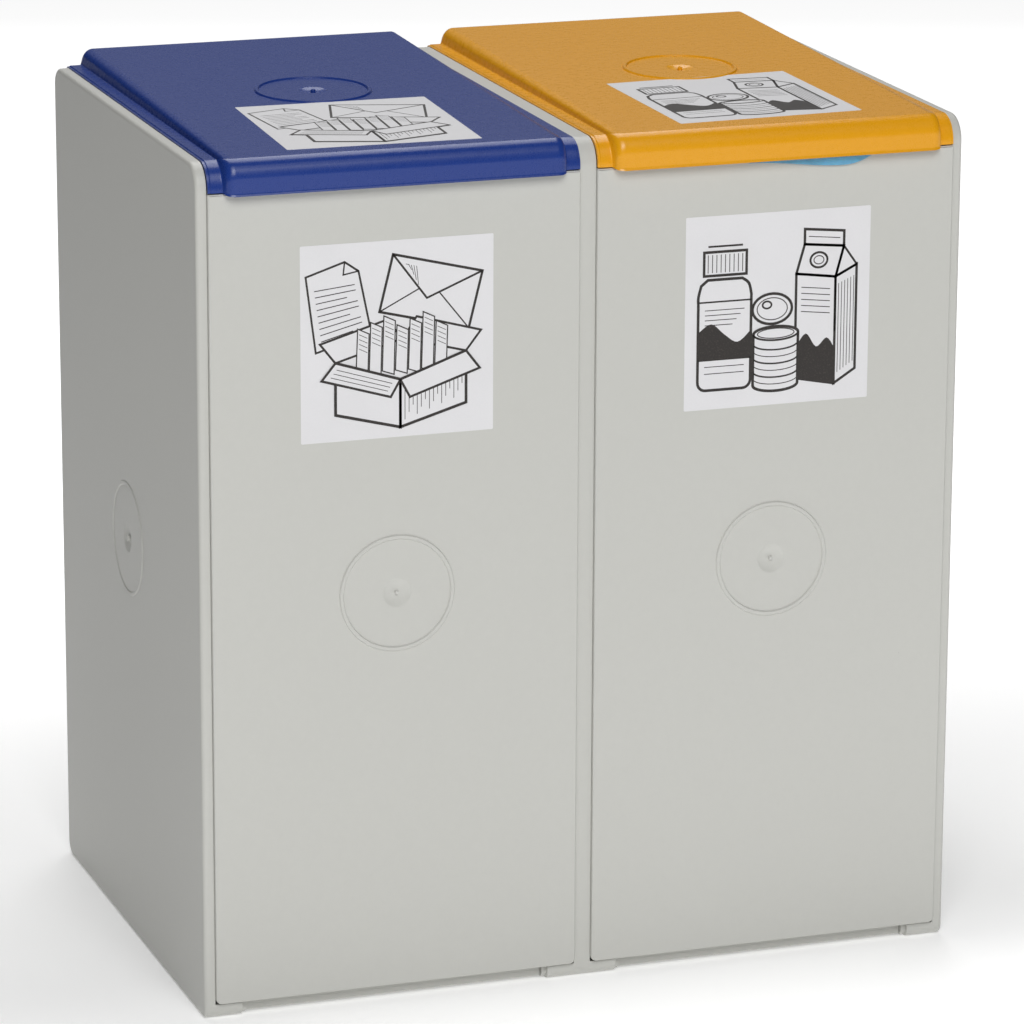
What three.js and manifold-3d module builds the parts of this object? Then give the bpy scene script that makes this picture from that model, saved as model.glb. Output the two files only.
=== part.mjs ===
// Double recycling bin: two compartments side by side between moulded walls, each with
// its own front panel, back panel, floor tray, bag frame and a hinged, crowned lid.
// Millimetres, +Z up, front towards -Y. The origin is the middle of the footprint on the floor.
import * as THREE from 'three';
import { mergeVertices } from 'three/addons/utils/BufferGeometryUtils.js';
import Module from 'manifold-3d';

const wasm = await Module();
wasm.setup();

// ---------------------------------------------------------------- driving dimensions
// Cabinet
const compartmentWidth = 269;
const cabinetDepth = 385;
const wallHeight = 616;
const sideWallThickness = 8;
const partitionThickness = 12.4;
const skinThickness = 3;            // moulded skin left behind every pocket
const rimWidth = 10;                // solid border round the pocketed side of a wall
const ribThickness = 3;
const pocketColumns = 3;
const pocketRows = 4;
const wallEdgeRadius = 3;           // outer edges of the side walls
const innerEdgeRadius = 1;          // edges that border a panel
const frontTopRadius = 18;
const backTopRadius = 14;
const backBottomRadius = 12;

// Feet moulded on the walls
const footReach = 20;               // how far a foot stands inwards from its wall
const footHeight = 10.6;
const footRollRadius = 7;           // the front of a foot rolls under by this radius
const footWall = 3;
const footTabReach = 3.5;           // recessed web past the end of each foot
const footTabRecess = 3;
const footTabLift = 1;
const footEndClearance = 12;        // the foot flange stops this far before the back edge

// Front and back panels
const panelSideGap = 0.8;
const panelBottomHeight = 11.5;
const frontPanelDrop = 20;          // top edge of the front panel below the wall tops
const panelProud = 3;               // front panel stands out of the wall edges
const panelCornerRadius = 4;
const panelEdgeRadius = 1.6;
const panelReturnDepth = 13;        // how far the panel edges turn back inside the walls
const returnThickness = 2.5;
const backPanelDrop = 29;
const backPanelRecess = 2;
const panelRibCount = 3;
const panelRibDepth = 7;
const hookLength = 14;
const hookBite = 2.2;               // snap hook behind the wall rim
const hookThickness = 2.2;
const hookClearance = 0.4;

// Round gate medallion moulded on every large face
const medallionRadius = 40.7;
const medallionRingWidth = 2.4;
const medallionRingHeight = 0.6;
const gateDishRadius = 9;
const gateDishDepth = 0.7;
const gateNubRadius = 1.3;
const gateNubHeight = 0.2;
const medallionHeight = 303;
const medallionRoot = 0.4;          // ring and nub reach this far into the skin

// Floor trays
const trayTop = 15;
const trayPlate = 3;
const traySideGap = 0.5;
const trayBottomGap = 0.3;          // tray skirts stand this far above the foot flanges
const trayWall = 2.5;
const apronRecess = 6;              // front apron behind the wall edges
const apronChamfer = 1.5;
const apronTopGap = 1;
const apronBottom = 1.8;
const trayEndGap = 0.6;
const trayRibCount = 3;
const trayRibDepth = 7;
const trayScrewCover = 2;           // plate left over the end of a screw hole

// Lids
const lidSideGap = 0.8;
const lidThickness = 3;
const lidLift = 1;                  // flange tops above the wall tops
const flangeWidth = 9.5;
const crownStepWidth = 5.5;
const crownRise = 2.6;              // crown above the flanges, over the front edge of the walls
const crownSlopeDegrees = 1.55;
const lidRearInset = 5;             // lid ends this far before the back edge of the walls
const lidRearDrop = 10;             // lower rear edge below the wall tops
const crownRearRadius = 6;
const flangeRearRadius = 4;
const flangeBendRadius = 18;
const flangeEndDrop = 19;
const flangeFlare = 0.1;
const skirtReach = 9.5;             // front skirt stands out of the wall edges
const skirtDrop = 21;
const crownEdgeReach = 3.6;         // front crown edge, where the bevel starts
const bevelFall = 9;                // bevel's lower edge below the front end of the crown
const bevelFilletRadius = 5;
const lipFlare = 0.8;
const lipHeight = 3;
const lipRadius = 1;
const lidRibOffset = 62;
const lidRibThickness = 2.2;
const lidRibDrop = 5;
const lidRibFrontInset = 22;
const lidRibRearGap = 6;            // ribs end this far before the knuckles

// Hinges
const hingeInset = 16;              // rod axis before the back edge of the walls
const hingeDrop = 12;               // rod axis below the wall tops
const rodRadius = 2.5;
const rodSocketDepth = 4;
const rodEndGap = 0.4;
const boreClearance = 0.35;
const knuckleRadius = 5.6;
const knuckleWidth = 18;
const knuckleGap = 0.7;
const knuckleSpread = 88;           // knuckle groups left and right of the middle
const rodChamfer = 0.6;
const rodBossRadius = 7;

// Hinge rail, the cross bar under each hinge
const railSideGap = 0.5;
const railDrop = 22;
const railHeight = 22;
const railDepth = 15;
const railThickness = 3;
const railBehindAxis = 0.6;         // rail's back face before the rod axis
const earFront = 9;

// Bag frames
const ledgeDrop = 16;
const ledgeReach = 6;
const ledgeThickness = 3;
const ledgeFrontInset = 24;
const ledgeBackInset = 61;
const bagFrameSeatGap = 0.3;
const bagFrameThickness = 3;
const bagFrameSideGap = 2.6;
const bagFrameFrontInset = 17;
const bagFrameBackGap = 4;
const bagFrameRail = 16;
const bagFrameCollar = 22;
const bagCollarWall = 2.5;
const bagFrameCornerRadius = 22;

// Liner bag in the right compartment
const bagFilm = 1;
const bagSideGap = 3;
const bagFloorGap = 4;
const bagBaseShrink = 12;           // base drawn in by this much
const bagBaseTurn = 18;             // over this height
const bagSpread = 44;               // height below the collar over which the bag widens
const bagCornerRadius = 26;
const bagCuffWidth = 13;
const bagCuffGap = 0.4;
const tongueWidth = 73;
const tongueOffset = 22;            // folded-over front tongue, right of the lid's middle
const tongueOverlap = 6.5;          // tongue hangs this far below the panel's top edge
const tongueStandOff = 1;
const tongueRoot = 2;
const foldEdgeGap = 1;

// Screws
const screwRadius = 1.5;
const screwHeadRadius = 3.4;
const screwHeadHeight = 1.4;
const screwHeadTaper = 0.5;
const screwTip = 1;
const screwHeadGap = 0.2;
const screwBossRadius = 5.5;
const screwClearance = 0.3;
const floorScrewInset = 60;
const floorScrewLength = 9.5;
const counterboreDepth = 1.7;
const railScrewLength = 7.6;
const railScrewDrop = 13;

// Working allowances
const joinDepth = 1;                // joined shapes reach this far into each other
const cutPast = 1;                  // cutting shapes reach this far past the face they open
const hairline = 0.01;              // keeps two fillets in a row from closing their common edge
const sharpRadius = 0.05;
const leastInnerRadius = 0.6;

// Facet counts
const cornerSteps = 4;
const edgeSteps = 3;
const filletSteps = 3;
const footSteps = 5;
const lidStepFacets = 5;
const medallionSegments = 36;
const dishSegments = 20;
const knuckleSegments = 16;
const boreSegments = 12;
const screwSegments = 8;

// ---------------------------------------------------------------- derived places
const lidWidth = compartmentWidth - 2 * lidSideGap;
const panelWidth = compartmentWidth - 2 * panelSideGap;
const crownSlope = Math.tan(THREE.MathUtils.degToRad(crownSlopeDegrees));
const compartmentOffset = (partitionThickness + compartmentWidth) / 2;
const sideWallOffset = compartmentOffset + compartmentWidth / 2;
const hingeY = cabinetDepth - hingeInset;
const lidRearY = cabinetDepth - lidRearInset;
const pocketBottom = footHeight + rimWidth / 2;
const pocketTop = wallHeight - rimWidth;
const overallDepth = cabinetDepth + skirtReach + lipFlare;
const middleOfDepth = cabinetDepth / 2;
const frontPanelTop = wallHeight - frontPanelDrop;
const backPanelTop = wallHeight - backPanelDrop;
const flangeTop = wallHeight + lidLift;
const flangeEndHeight = wallHeight - flangeEndDrop;
const crownFrontHeight = flangeTop + crownRise;
const bevelBottomHeight = crownFrontHeight - bevelFall;
const skirtBottom = wallHeight - skirtDrop;
const lidRearBottom = wallHeight - lidRearDrop;
const lidRibBottom = wallHeight - lidRibDrop;
const hingeHeight = wallHeight - hingeDrop;
const railTop = wallHeight - railDrop;
const railFrontY = hingeY - railBehindAxis - railDepth;
const railScrewY = railFrontY + railDepth / 2;
const railScrewZ = railTop - railScrewDrop;
const ledgeTop = wallHeight - ledgeDrop;
const tongueBottom = frontPanelTop - tongueOverlap;

// ---------------------------------------------------------------- materials
function plastic(colour, roughness) {
  return new THREE.MeshStandardMaterial({ color: colour, roughness, metalness: 0 });
}
const greyPlastic = () => plastic(0xc8c9c3, 0.55);
const bluePlastic = () => plastic(0x26409a, 0.35);
const yellowPlastic = () => plastic(0xf0a41e, 0.35);
const darkPlastic = () => plastic(0x3a3d3f, 0.6);
const filmPlastic = () => plastic(0x5fa9d2, 0.3);
const steel = () => new THREE.MeshStandardMaterial({ color: 0xb9bcc0, roughness: 0.3, metalness: 1 });

// ---------------------------------------------------------------- solid helpers
function toSolid(geometry) {
  const bare = geometry.clone();
  bare.deleteAttribute('normal');
  bare.deleteAttribute('uv');
  const merged = mergeVertices(bare, 1e-4);
  return new wasm.Manifold(new wasm.Mesh({
    numProp: 3,
    vertProperties: new Float32Array(merged.attributes.position.array),
    triVerts: new Uint32Array(merged.index.array),
  }));
}

function toGeometry(solid) {
  const mesh = solid.getMesh();
  const geometry = new THREE.BufferGeometry();
  geometry.setAttribute('position', new THREE.BufferAttribute(new Float32Array(mesh.vertProperties), 3));
  geometry.setIndex(new THREE.BufferAttribute(new Uint32Array(mesh.triVerts), 1));
  geometry.computeVertexNormals();
  return geometry;
}

function joined(solids) {
  return solids.reduce((whole, piece) => whole.add(piece));
}

function cut(solid, tools) {
  return tools.reduce((rest, tool) => rest.subtract(tool), solid);
}

// A box given by its lowest and highest corner.
function block(low, high) {
  const size = low.map((value, axis) => Math.abs(high[axis] - value));
  const geometry = new THREE.BoxGeometry(...size);
  geometry.translate(...low.map((value, axis) => (value + high[axis]) / 2));
  return toSolid(geometry);
}

// A geometry from triangles, turned so that its faces point outwards.
function closedGeometry(points, triangles) {
  let volume = 0;
  for (const [a, b, c] of triangles) {
    volume += points[a].dot(new THREE.Vector3().crossVectors(points[b], points[c]));
  }
  const ordered = volume < 0 ? triangles.map(([a, b, c]) => [a, c, b]) : triangles;
  const geometry = new THREE.BufferGeometry();
  geometry.setFromPoints(points);
  geometry.setIndex(ordered.flat());
  return geometry;
}

// A closed solid through rings of equally many points, capped with a fan at both ends.
function ringLoft(rings) {
  const count = rings[0].length;
  const points = rings.flat();
  const triangles = [];
  for (let ring = 0; ring + 1 < rings.length; ring += 1) {
    for (let i = 0; i < count; i += 1) {
      const a = ring * count + i;
      const b = ring * count + ((i + 1) % count);
      triangles.push([a, b, b + count], [a, b + count, a + count]);
    }
  }
  const caps = [[rings[0], 0], [rings[rings.length - 1], (rings.length - 1) * count]];
  caps.forEach(([ring, first], side) => {
    const centre = new THREE.Vector3();
    ring.forEach((point) => centre.addScaledVector(point, 1 / count));
    const middle = points.length;
    points.push(centre);
    for (let i = 0; i < count; i += 1) {
      const edge = [first + i, first + ((i + 1) % count)];
      triangles.push(side === 0 ? [edge[1], edge[0], middle] : [edge[0], edge[1], middle]);
    }
  });
  return closedGeometry(points, triangles);
}

// Outline of a rectangle with its own radius at each corner, drawn anticlockwise from
// the low-low corner. An inset moves the sides in and shrinks the radii with them.
function roundedOutline([left, bottom, right, top], radii, inset) {
  const corners = [
    [left, bottom, 1, 1, 180],
    [right, bottom, -1, 1, 270],
    [right, top, -1, -1, 0],
    [left, top, 1, -1, 90],
  ];
  const outline = [];
  corners.forEach(([u, v, towardsU, towardsV, startAngle], corner) => {
    const radius = Math.max(radii[corner] - inset, sharpRadius);
    const centreU = u + towardsU * (inset + radius);
    const centreV = v + towardsV * (inset + radius);
    for (let step = 0; step <= cornerSteps; step += 1) {
      const angle = THREE.MathUtils.degToRad(startAngle + (90 * step) / cornerSteps);
      outline.push([centreU + radius * Math.cos(angle), centreV + radius * Math.sin(angle)]);
    }
  });
  return outline;
}

// Layers of [distance, inset] that round one edge of a plate.
function roundedEdge(face, direction, radius, steps = edgeSteps) {
  const layers = [];
  for (let step = 0; step <= steps; step += 1) {
    const angle = (Math.PI / 2) * (step / steps);
    layers.push([face + direction * radius * (1 - Math.sin(angle)), radius * (1 - Math.cos(angle))]);
  }
  return layers;
}

// A plate with rounded edges, whose outline lies in the plane that the mapping gives.
function roundedPlate(box, radii, layers, mapping) {
  const rings = layers.map(([distance, inset]) => (
    roundedOutline(box, radii, inset).map(([u, v]) => mapping(u, v, distance))
  ));
  return toSolid(ringLoft(rings));
}

// A prism whose outline [u, v] is extruded between two distances.
function prism(outline, from, to, mapping) {
  const shape = new THREE.Shape(outline.map(([u, v]) => new THREE.Vector2(u, v)));
  const flat = new THREE.ExtrudeGeometry(shape, { depth: to - from, bevelEnabled: false });
  const position = flat.attributes.position;
  for (let i = 0; i < position.count; i += 1) {
    const point = mapping(position.getX(i), position.getY(i), from + position.getZ(i));
    position.setXYZ(i, point.x, point.y, point.z);
  }
  flat.deleteAttribute('normal');
  flat.deleteAttribute('uv');
  const merged = mergeVertices(flat, 1e-4);
  const points = [];
  for (let i = 0; i < merged.attributes.position.count; i += 1) {
    points.push(new THREE.Vector3().fromBufferAttribute(merged.attributes.position, i));
  }
  const triangles = [];
  for (let i = 0; i < merged.index.count; i += 3) {
    triangles.push([merged.index.getX(i), merged.index.getX(i + 1), merged.index.getX(i + 2)]);
  }
  return toSolid(closedGeometry(points, triangles));
}

const alongX = (y, z, x) => new THREE.Vector3(x, y, z);
const alongY = (x, z, y) => new THREE.Vector3(x, y, z);
const alongZ = (x, y, z) => new THREE.Vector3(x, y, z);

// A revolved profile of [radius, height] points about +Z, turned to face a direction.
function revolved(profile, segments, direction, centre) {
  const outline = profile.map(([radius, height]) => new THREE.Vector2(radius, height));
  const geometry = new THREE.LatheGeometry(outline, segments);
  geometry.rotateX(Math.PI / 2);
  const turn = new THREE.Quaternion().setFromUnitVectors(new THREE.Vector3(0, 0, 1), direction);
  geometry.applyQuaternion(turn);
  geometry.translate(centre.x, centre.y, centre.z);
  return toSolid(geometry);
}

function cylinder(radius, from, to, direction, centre, segments = boreSegments) {
  return revolved([[0, from], [radius, from], [radius, to], [0, to]], segments, direction, centre);
}

const xAxis = new THREE.Vector3(1, 0, 0);
const yAxis = new THREE.Vector3(0, 1, 0);
const zAxis = new THREE.Vector3(0, 0, 1);

// ---------------------------------------------------------------- medallion
// A low raised ring round the mould gate, with a shallow dish and a gate nub in its middle.
function withMedallion(solid, centre, outward) {
  const inner = medallionRadius - medallionRingWidth / 2;
  const outer = medallionRadius + medallionRingWidth / 2;
  const shoulder = medallionRingWidth / 4;
  const ring = revolved([
    [inner, -medallionRoot],
    [outer, -medallionRoot],
    [outer - shoulder, medallionRingHeight],
    [inner + shoulder, medallionRingHeight],
    [inner, -medallionRoot],
  ], medallionSegments, outward, centre);
  const dishHollow = [0, 0.5, 1].map((share) => (
    [gateDishRadius * share, gateDishDepth * (share * share - 1)]
  ));
  const dishProfile = [...dishHollow, [gateDishRadius, cutPast], [0, cutPast]];
  const dish = revolved(dishProfile, dishSegments, outward, centre);
  const nubRoot = -gateDishDepth - medallionRoot;
  const nub = cylinder(gateNubRadius, nubRoot, gateNubHeight, outward, centre, screwSegments);
  return solid.add(ring).subtract(dish).add(nub);
}

// ---------------------------------------------------------------- walls
const wallBox = [0, 0, cabinetDepth, wallHeight];
const wallRadii = [footRollRadius, backBottomRadius, backTopRadius, frontTopRadius];
const pocketWidth = (cabinetDepth - 2 * rimWidth - (pocketColumns - 1) * ribThickness) / pocketColumns;
const pocketRise = (pocketTop - pocketBottom - (pocketRows - 1) * ribThickness) / pocketRows;
const pocketCentre = (row) => pocketBottom + row * (pocketRise + ribThickness) + pocketRise / 2;

// Pockets between the ribs, on the face at faceX that looks towards +X or -X.
function wallPockets(faceX, towards, depth) {
  const pockets = [];
  for (let column = 0; column < pocketColumns; column += 1) {
    const y = rimWidth + column * (pocketWidth + ribThickness);
    for (let row = 0; row < pocketRows; row += 1) {
      const z = pocketCentre(row) - pocketRise / 2;
      pockets.push(block(
        [faceX - towards * depth, y, z],
        [faceX + towards * cutPast, y + pocketWidth, z + pocketRise],
      ));
    }
  }
  return pockets;
}

// Bosses that fill a pocket locally, so that rods and screws have something to sit in.
function wallBosses(faceX, towards, depth) {
  const inwards = xAxis.clone().multiplyScalar(towards);
  const root = skinThickness / 2;
  const places = [
    [hingeY, hingeHeight, rodBossRadius],
    [railScrewY, railScrewZ, screwBossRadius],
  ];
  return places.map(([y, z, radius]) => (
    cylinder(radius, -depth - root, 0, inwards, new THREE.Vector3(faceX, y, z), knuckleSegments)
  ));
}

function wallSockets(faceX, towards) {
  const inwards = xAxis.clone().multiplyScalar(towards);
  const socketReach = rodSocketDepth + rodEndGap;
  const screwReach = railScrewLength - railThickness + screwClearance;
  return [
    cylinder(rodRadius + boreClearance, -socketReach, cutPast, inwards,
      new THREE.Vector3(faceX, hingeY, hingeHeight)),
    cylinder(screwRadius + screwClearance, -screwReach, cutPast, inwards,
      new THREE.Vector3(faceX, railScrewY, railScrewZ), screwSegments),
  ];
}

// Ledge on which the bag frame seats: a rib across the pockets that stands out of the wall,
// flat on top and sloping back to the skin beneath.
function wallLedge(faceX, towards, depth) {
  const root = faceX - towards * (depth + joinDepth);
  const edge = faceX + towards * ledgeReach;
  const outline = [
    [root, ledgeTop],
    [edge, ledgeTop],
    [edge, ledgeTop - ledgeThickness],
    [root, ledgeTop - ledgeThickness - ledgeReach],
  ];
  return prism(outline, ledgeFrontInset, cabinetDepth - ledgeBackInset, alongY);
}

// Foot: a flange under the floor tray whose front edge rolls up into a short front wall.
function footProfile() {
  const backEnd = cabinetDepth - footEndClearance;
  const outline = [[0, footHeight]];
  for (let step = 0; step <= footSteps; step += 1) {
    const angle = (Math.PI / 2) * (step / footSteps);
    outline.push([footRollRadius * (1 - Math.cos(angle)), footRollRadius * (1 - Math.sin(angle))]);
  }
  outline.push([backEnd, 0], [backEnd, footWall]);
  const innerRadius = footRollRadius - footWall;
  for (let step = footSteps; step >= 0; step -= 1) {
    const angle = (Math.PI / 2) * (step / footSteps);
    outline.push([
      footRollRadius - innerRadius * Math.cos(angle),
      footRollRadius - innerRadius * Math.sin(angle),
    ]);
  }
  outline.push([footWall, footHeight]);
  return outline;
}

// The foot, and past its end a thinner web that stands back from its face.
function wallFoot(faceX, towards) {
  const root = faceX - towards * joinDepth;
  const end = faceX + towards * footReach;
  const flange = prism(footProfile(), Math.min(root, end), Math.max(root, end), alongX);
  const tabStart = faceX + towards * (footReach - joinDepth);
  const tabEnd = faceX + towards * (footReach + footTabReach);
  const tab = prism([
    [footTabRecess, footHeight],
    [footTabRecess, footTabLift + footRollRadius / 2],
    [footTabRecess + footRollRadius / 2, footTabLift],
    [footRollRadius + footWall, footTabLift],
    [footRollRadius + footWall, footHeight],
  ], Math.min(tabStart, tabEnd), Math.max(tabStart, tabEnd), alongX);
  return flange.add(tab);
}

// Clearance holes for the floor screws, sunk from below so that the heads stay clear.
function footScrewHoles(faceX, towards) {
  return floorScrewPlaces(faceX, towards).flatMap((middle) => [
    cylinder(screwRadius + screwClearance, -cutPast, footWall + cutPast, zAxis, middle, screwSegments),
    cylinder(screwHeadRadius + screwClearance, -cutPast, counterboreDepth, zAxis, middle),
  ]);
}

function floorScrewPlaces(faceX, towards) {
  return [floorScrewInset, cabinetDepth - floorScrewInset].map((y) => (
    new THREE.Vector3(faceX + towards * footReach / 2, y, 0)
  ));
}

// Side wall on the left (side -1) or right (side +1), with its pockets facing inwards.
function sideWall(side) {
  const outerX = side * (sideWallOffset + sideWallThickness);
  const innerX = side * sideWallOffset;
  const layers = [
    ...roundedEdge(outerX, -side, wallEdgeRadius).reverse(),
    ...roundedEdge(innerX, side, innerEdgeRadius, 1),
  ];
  const blank = roundedPlate(wallBox, wallRadii, orderedLayers(layers), alongX);
  const depth = sideWallThickness - skinThickness;
  const tray = cut(blank, wallPockets(innerX, -side, depth));
  const fitted = joined([
    tray,
    ...wallBosses(innerX, -side, depth),
    wallLedge(innerX, -side, depth),
    wallFoot(innerX, -side),
  ]);
  const drilled = cut(fitted, [...wallSockets(innerX, -side), ...footScrewHoles(innerX, -side)]);
  const outward = xAxis.clone().multiplyScalar(side);
  return withMedallion(drilled, new THREE.Vector3(outerX, middleOfDepth, medallionHeight), outward);
}

function orderedLayers(layers) {
  return [...layers].sort((a, b) => a[0] - b[0]);
}

// Partition between the compartments, pocketed on both faces, with a foot to either side.
function partition() {
  const half = partitionThickness / 2;
  const layers = [
    ...roundedEdge(-half, 1, innerEdgeRadius, 2),
    ...roundedEdge(half, -1, innerEdgeRadius, 2),
  ];
  const blank = roundedPlate(wallBox, wallRadii, orderedLayers(layers), alongX);
  const depth = (partitionThickness - skinThickness) / 2;
  let wall = blank;
  for (const side of [-1, 1]) {
    const faceX = side * half;
    wall = cut(wall, wallPockets(faceX, side, depth));
    wall = joined([
      wall,
      ...wallBosses(faceX, side, depth),
      wallLedge(faceX, side, depth),
      wallFoot(faceX, side),
    ]);
  }
  for (const side of [-1, 1]) {
    const faceX = side * half;
    wall = cut(wall, [...wallSockets(faceX, side), ...footScrewHoles(faceX, side)]);
  }
  return wall;
}

// ---------------------------------------------------------------- panels
// A tray-shaped panel: skin at outerY, edges turned inwards, ribs and snap hooks inside.
// towards is +1 when its hollow side looks to +Y (front panel), -1 for the back panel.
function panel(outerY, towards, top) {
  const half = panelWidth / 2;
  const box = [-half, panelBottomHeight, half, top];
  const radii = Array(4).fill(panelCornerRadius);
  const wallFaceY = towards > 0 ? 0 : cabinetDepth;
  const backY = wallFaceY + towards * panelReturnDepth;
  const layers = [[backY, 0], ...roundedEdge(outerY, towards, panelEdgeRadius)];
  const blank = roundedPlate(box, radii, orderedLayers(layers), alongY);
  const hollowStart = outerY + towards * skinThickness;
  const inset = returnThickness;
  const hollow = block(
    [-half + inset, hollowStart, panelBottomHeight + inset],
    [half - inset, backY + towards * cutPast, top - inset],
  );
  const pieces = [blank.subtract(hollow)];
  for (let rib = 1; rib <= panelRibCount; rib += 1) {
    const z = panelBottomHeight + ((top - panelBottomHeight) * rib) / (panelRibCount + 1);
    pieces.push(block(
      [-half + inset / 2, hollowStart - towards * joinDepth, z - ribThickness / 2],
      [half - inset / 2, hollowStart + towards * panelRibDepth, z + ribThickness / 2],
    ));
  }
  const hookFrontY = wallFaceY + towards * (rimWidth + hookClearance);
  for (const side of [-1, 1]) {
    for (let row = 0; row < pocketRows; row += 1) {
      pieces.push(block(
        [side * (half - inset / 2), hookFrontY, pocketCentre(row) - hookLength / 2],
        [side * (half + panelSideGap + hookBite), hookFrontY + towards * hookThickness,
          pocketCentre(row) + hookLength / 2],
      ));
    }
  }
  return joined(pieces);
}

function frontPanel() {
  const outerY = -panelProud;
  const centre = new THREE.Vector3(0, outerY, medallionHeight);
  return withMedallion(panel(outerY, 1, frontPanelTop), centre, yAxis.clone().negate());
}

function backPanel() {
  return panel(cabinetDepth - backPanelRecess, -1, backPanelTop);
}

// ---------------------------------------------------------------- floor tray
function floorTray() {
  const half = compartmentWidth / 2 - traySideGap;
  const frontY = panelReturnDepth + trayEndGap;
  const backY = cabinetDepth - panelReturnDepth - trayEndGap;
  const skirtBottomZ = footWall + trayBottomGap;
  const joinHeight = trayTop - joinDepth;
  const apronHalf = compartmentWidth / 2 - footReach - footTabReach - trayEndGap;
  const pieces = [
    block([-half, frontY, trayTop - trayPlate], [half, backY, trayTop]),
    block([-half, frontY, skirtBottomZ], [-half + trayWall, backY, joinHeight]),
    block([half - trayWall, frontY, skirtBottomZ], [half, backY, joinHeight]),
    block([-half, backY - trayWall, skirtBottomZ], [half, backY, joinHeight]),
    block([-half, frontY, skirtBottomZ], [half, frontY + trayWall, joinHeight]),
    floorApron(apronHalf, frontY),
  ];
  for (let rib = 1; rib <= trayRibCount; rib += 1) {
    const x = -half + (2 * half * rib) / (trayRibCount + 1);
    pieces.push(block(
      [x - ribThickness / 2, frontY + joinDepth, trayTop - trayPlate - trayRibDepth],
      [x + ribThickness / 2, backY - joinDepth, joinHeight],
    ));
  }
  const holes = [];
  for (const side of [-1, 1]) {
    for (const middle of floorScrewPlaces(side * compartmentWidth / 2, -side)) {
      const holeTop = trayTop - trayScrewCover;
      pieces.push(cylinder(screwBossRadius, skirtBottomZ, joinHeight, zAxis, middle));
      holes.push(cylinder(screwRadius + screwClearance, 0, holeTop, zAxis, middle, screwSegments));
    }
  }
  return cut(joined(pieces), holes);
}

// Front rail of the tray, seen between the feet below the front panel.
function floorApron(half, frontY) {
  const top = panelBottomHeight - apronTopGap;
  const outline = [
    [apronRecess, apronBottom + apronChamfer],
    [apronRecess + apronChamfer, apronBottom],
    [frontY + joinDepth, apronBottom],
    [frontY + joinDepth, top],
    [apronRecess, top],
  ];
  return prism(outline, -half, half, alongX);
}

// ---------------------------------------------------------------- lids
// Rounds the inner corners of an open polyline of [u, v] points.
function filletedPath(points, radii) {
  const path = [points[0]];
  for (let i = 1; i + 1 < points.length; i += 1) {
    const corner = new THREE.Vector2(...points[i]);
    const back = new THREE.Vector2(...points[i - 1]).sub(corner).normalize();
    const ahead = new THREE.Vector2(...points[i + 1]).sub(corner).normalize();
    const half = Math.acos(THREE.MathUtils.clamp(back.dot(ahead), -1, 1)) / 2;
    const radius = radii[i - 1];
    const reach = radius / Math.tan(half);
    const bisector = back.clone().add(ahead).normalize();
    const centre = corner.clone().addScaledVector(bisector, radius / Math.sin(half));
    const start = corner.clone().addScaledVector(back, reach).sub(centre);
    const end = corner.clone().addScaledVector(ahead, reach).sub(centre);
    const sweep = Math.atan2(start.cross(end), start.dot(end));
    for (let step = 0; step <= filletSteps; step += 1) {
      const turned = start.clone().rotateAround(new THREE.Vector2(), (sweep * step) / filletSteps);
      path.push([centre.x + turned.x, centre.y + turned.y]);
    }
  }
  path.push(points[points.length - 1]);
  return path;
}

// The polyline moved sideways by a distance, to the left of its direction of travel.
function offsetPath(points, distance) {
  const lines = points.slice(1).map((point, i) => {
    const from = new THREE.Vector2(...points[i]);
    const along = new THREE.Vector2(...point).sub(from).normalize();
    const left = new THREE.Vector2(-along.y, along.x).multiplyScalar(distance);
    return { start: from.clone().add(left), end: new THREE.Vector2(...point).add(left), along };
  });
  const moved = [lines[0].start.toArray()];
  for (let i = 1; i < lines.length; i += 1) {
    const [before, after] = [lines[i - 1], lines[i]];
    const across = before.along.cross(after.along);
    const gap = after.start.clone().sub(before.start);
    const t = gap.cross(after.along) / across;
    moved.push(before.start.clone().addScaledVector(before.along, t).toArray());
  }
  moved.push(lines[lines.length - 1].end.toArray());
  return moved;
}

const crownHeightAt = (y) => crownFrontHeight + y * crownSlope;

// The bend over the front edge is two turns of 45 degrees, whose fillets meet in the middle
// of a chamfer and so make one quarter round.
const bendCut = flangeBendRadius * Math.SQRT2 * Math.tan(Math.PI / 8);
// Side view of the flanges: rear edge, flat top, bend down over the front, straight end.
const flangeCorners = [
  [lidRearY, lidRearBottom],
  [lidRearY, flangeTop],
  [bendCut - panelProud, flangeTop],
  [-panelProud, flangeTop - bendCut],
  [-panelProud - flangeFlare / 2, flangeEndHeight + lipHeight],
  [-panelProud - flangeFlare, flangeEndHeight],
];
// Side view of the crown: upright rear end, sloping top, bevel, upright skirt, flared lip.
const crownCorners = [
  [lidRearY, lidRearBottom],
  [lidRearY, crownHeightAt(lidRearY)],
  [-crownEdgeReach, crownHeightAt(-crownEdgeReach)],
  [-skirtReach, bevelBottomHeight],
  [-skirtReach, skirtBottom + lipHeight],
  [-skirtReach - lipFlare, skirtBottom],
];
const bendRadius = flangeBendRadius - hairline;
const flangeRadii = [flangeRearRadius, bendRadius, bendRadius, lipRadius];
const crownRadii = [crownRearRadius, bevelFilletRadius, bevelFilletRadius, lipRadius];

function lidPath(corners, radii, depth) {
  const moved = depth === 0 ? corners : offsetPath(corners, depth);
  const shrunk = radii.map((radius) => Math.max(radius - depth, leastInnerRadius));
  return filletedPath(moved, shrunk);
}

// Cross section of the lid: flat flange, slanted step, flat crown, mirrored.
function lidColumns(stepInset) {
  const columns = [[-lidWidth / 2, 0]];
  for (let step = 0; step <= lidStepFacets; step += 1) {
    const share = step / lidStepFacets;
    const x = -lidWidth / 2 + flangeWidth + stepInset + crownStepWidth * share;
    columns.push([x, (1 - Math.cos(Math.PI * share)) / 2]);
  }
  const mirrored = columns.map(([x, share]) => [-x, share]).reverse();
  return [...columns, ...mirrored];
}

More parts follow.
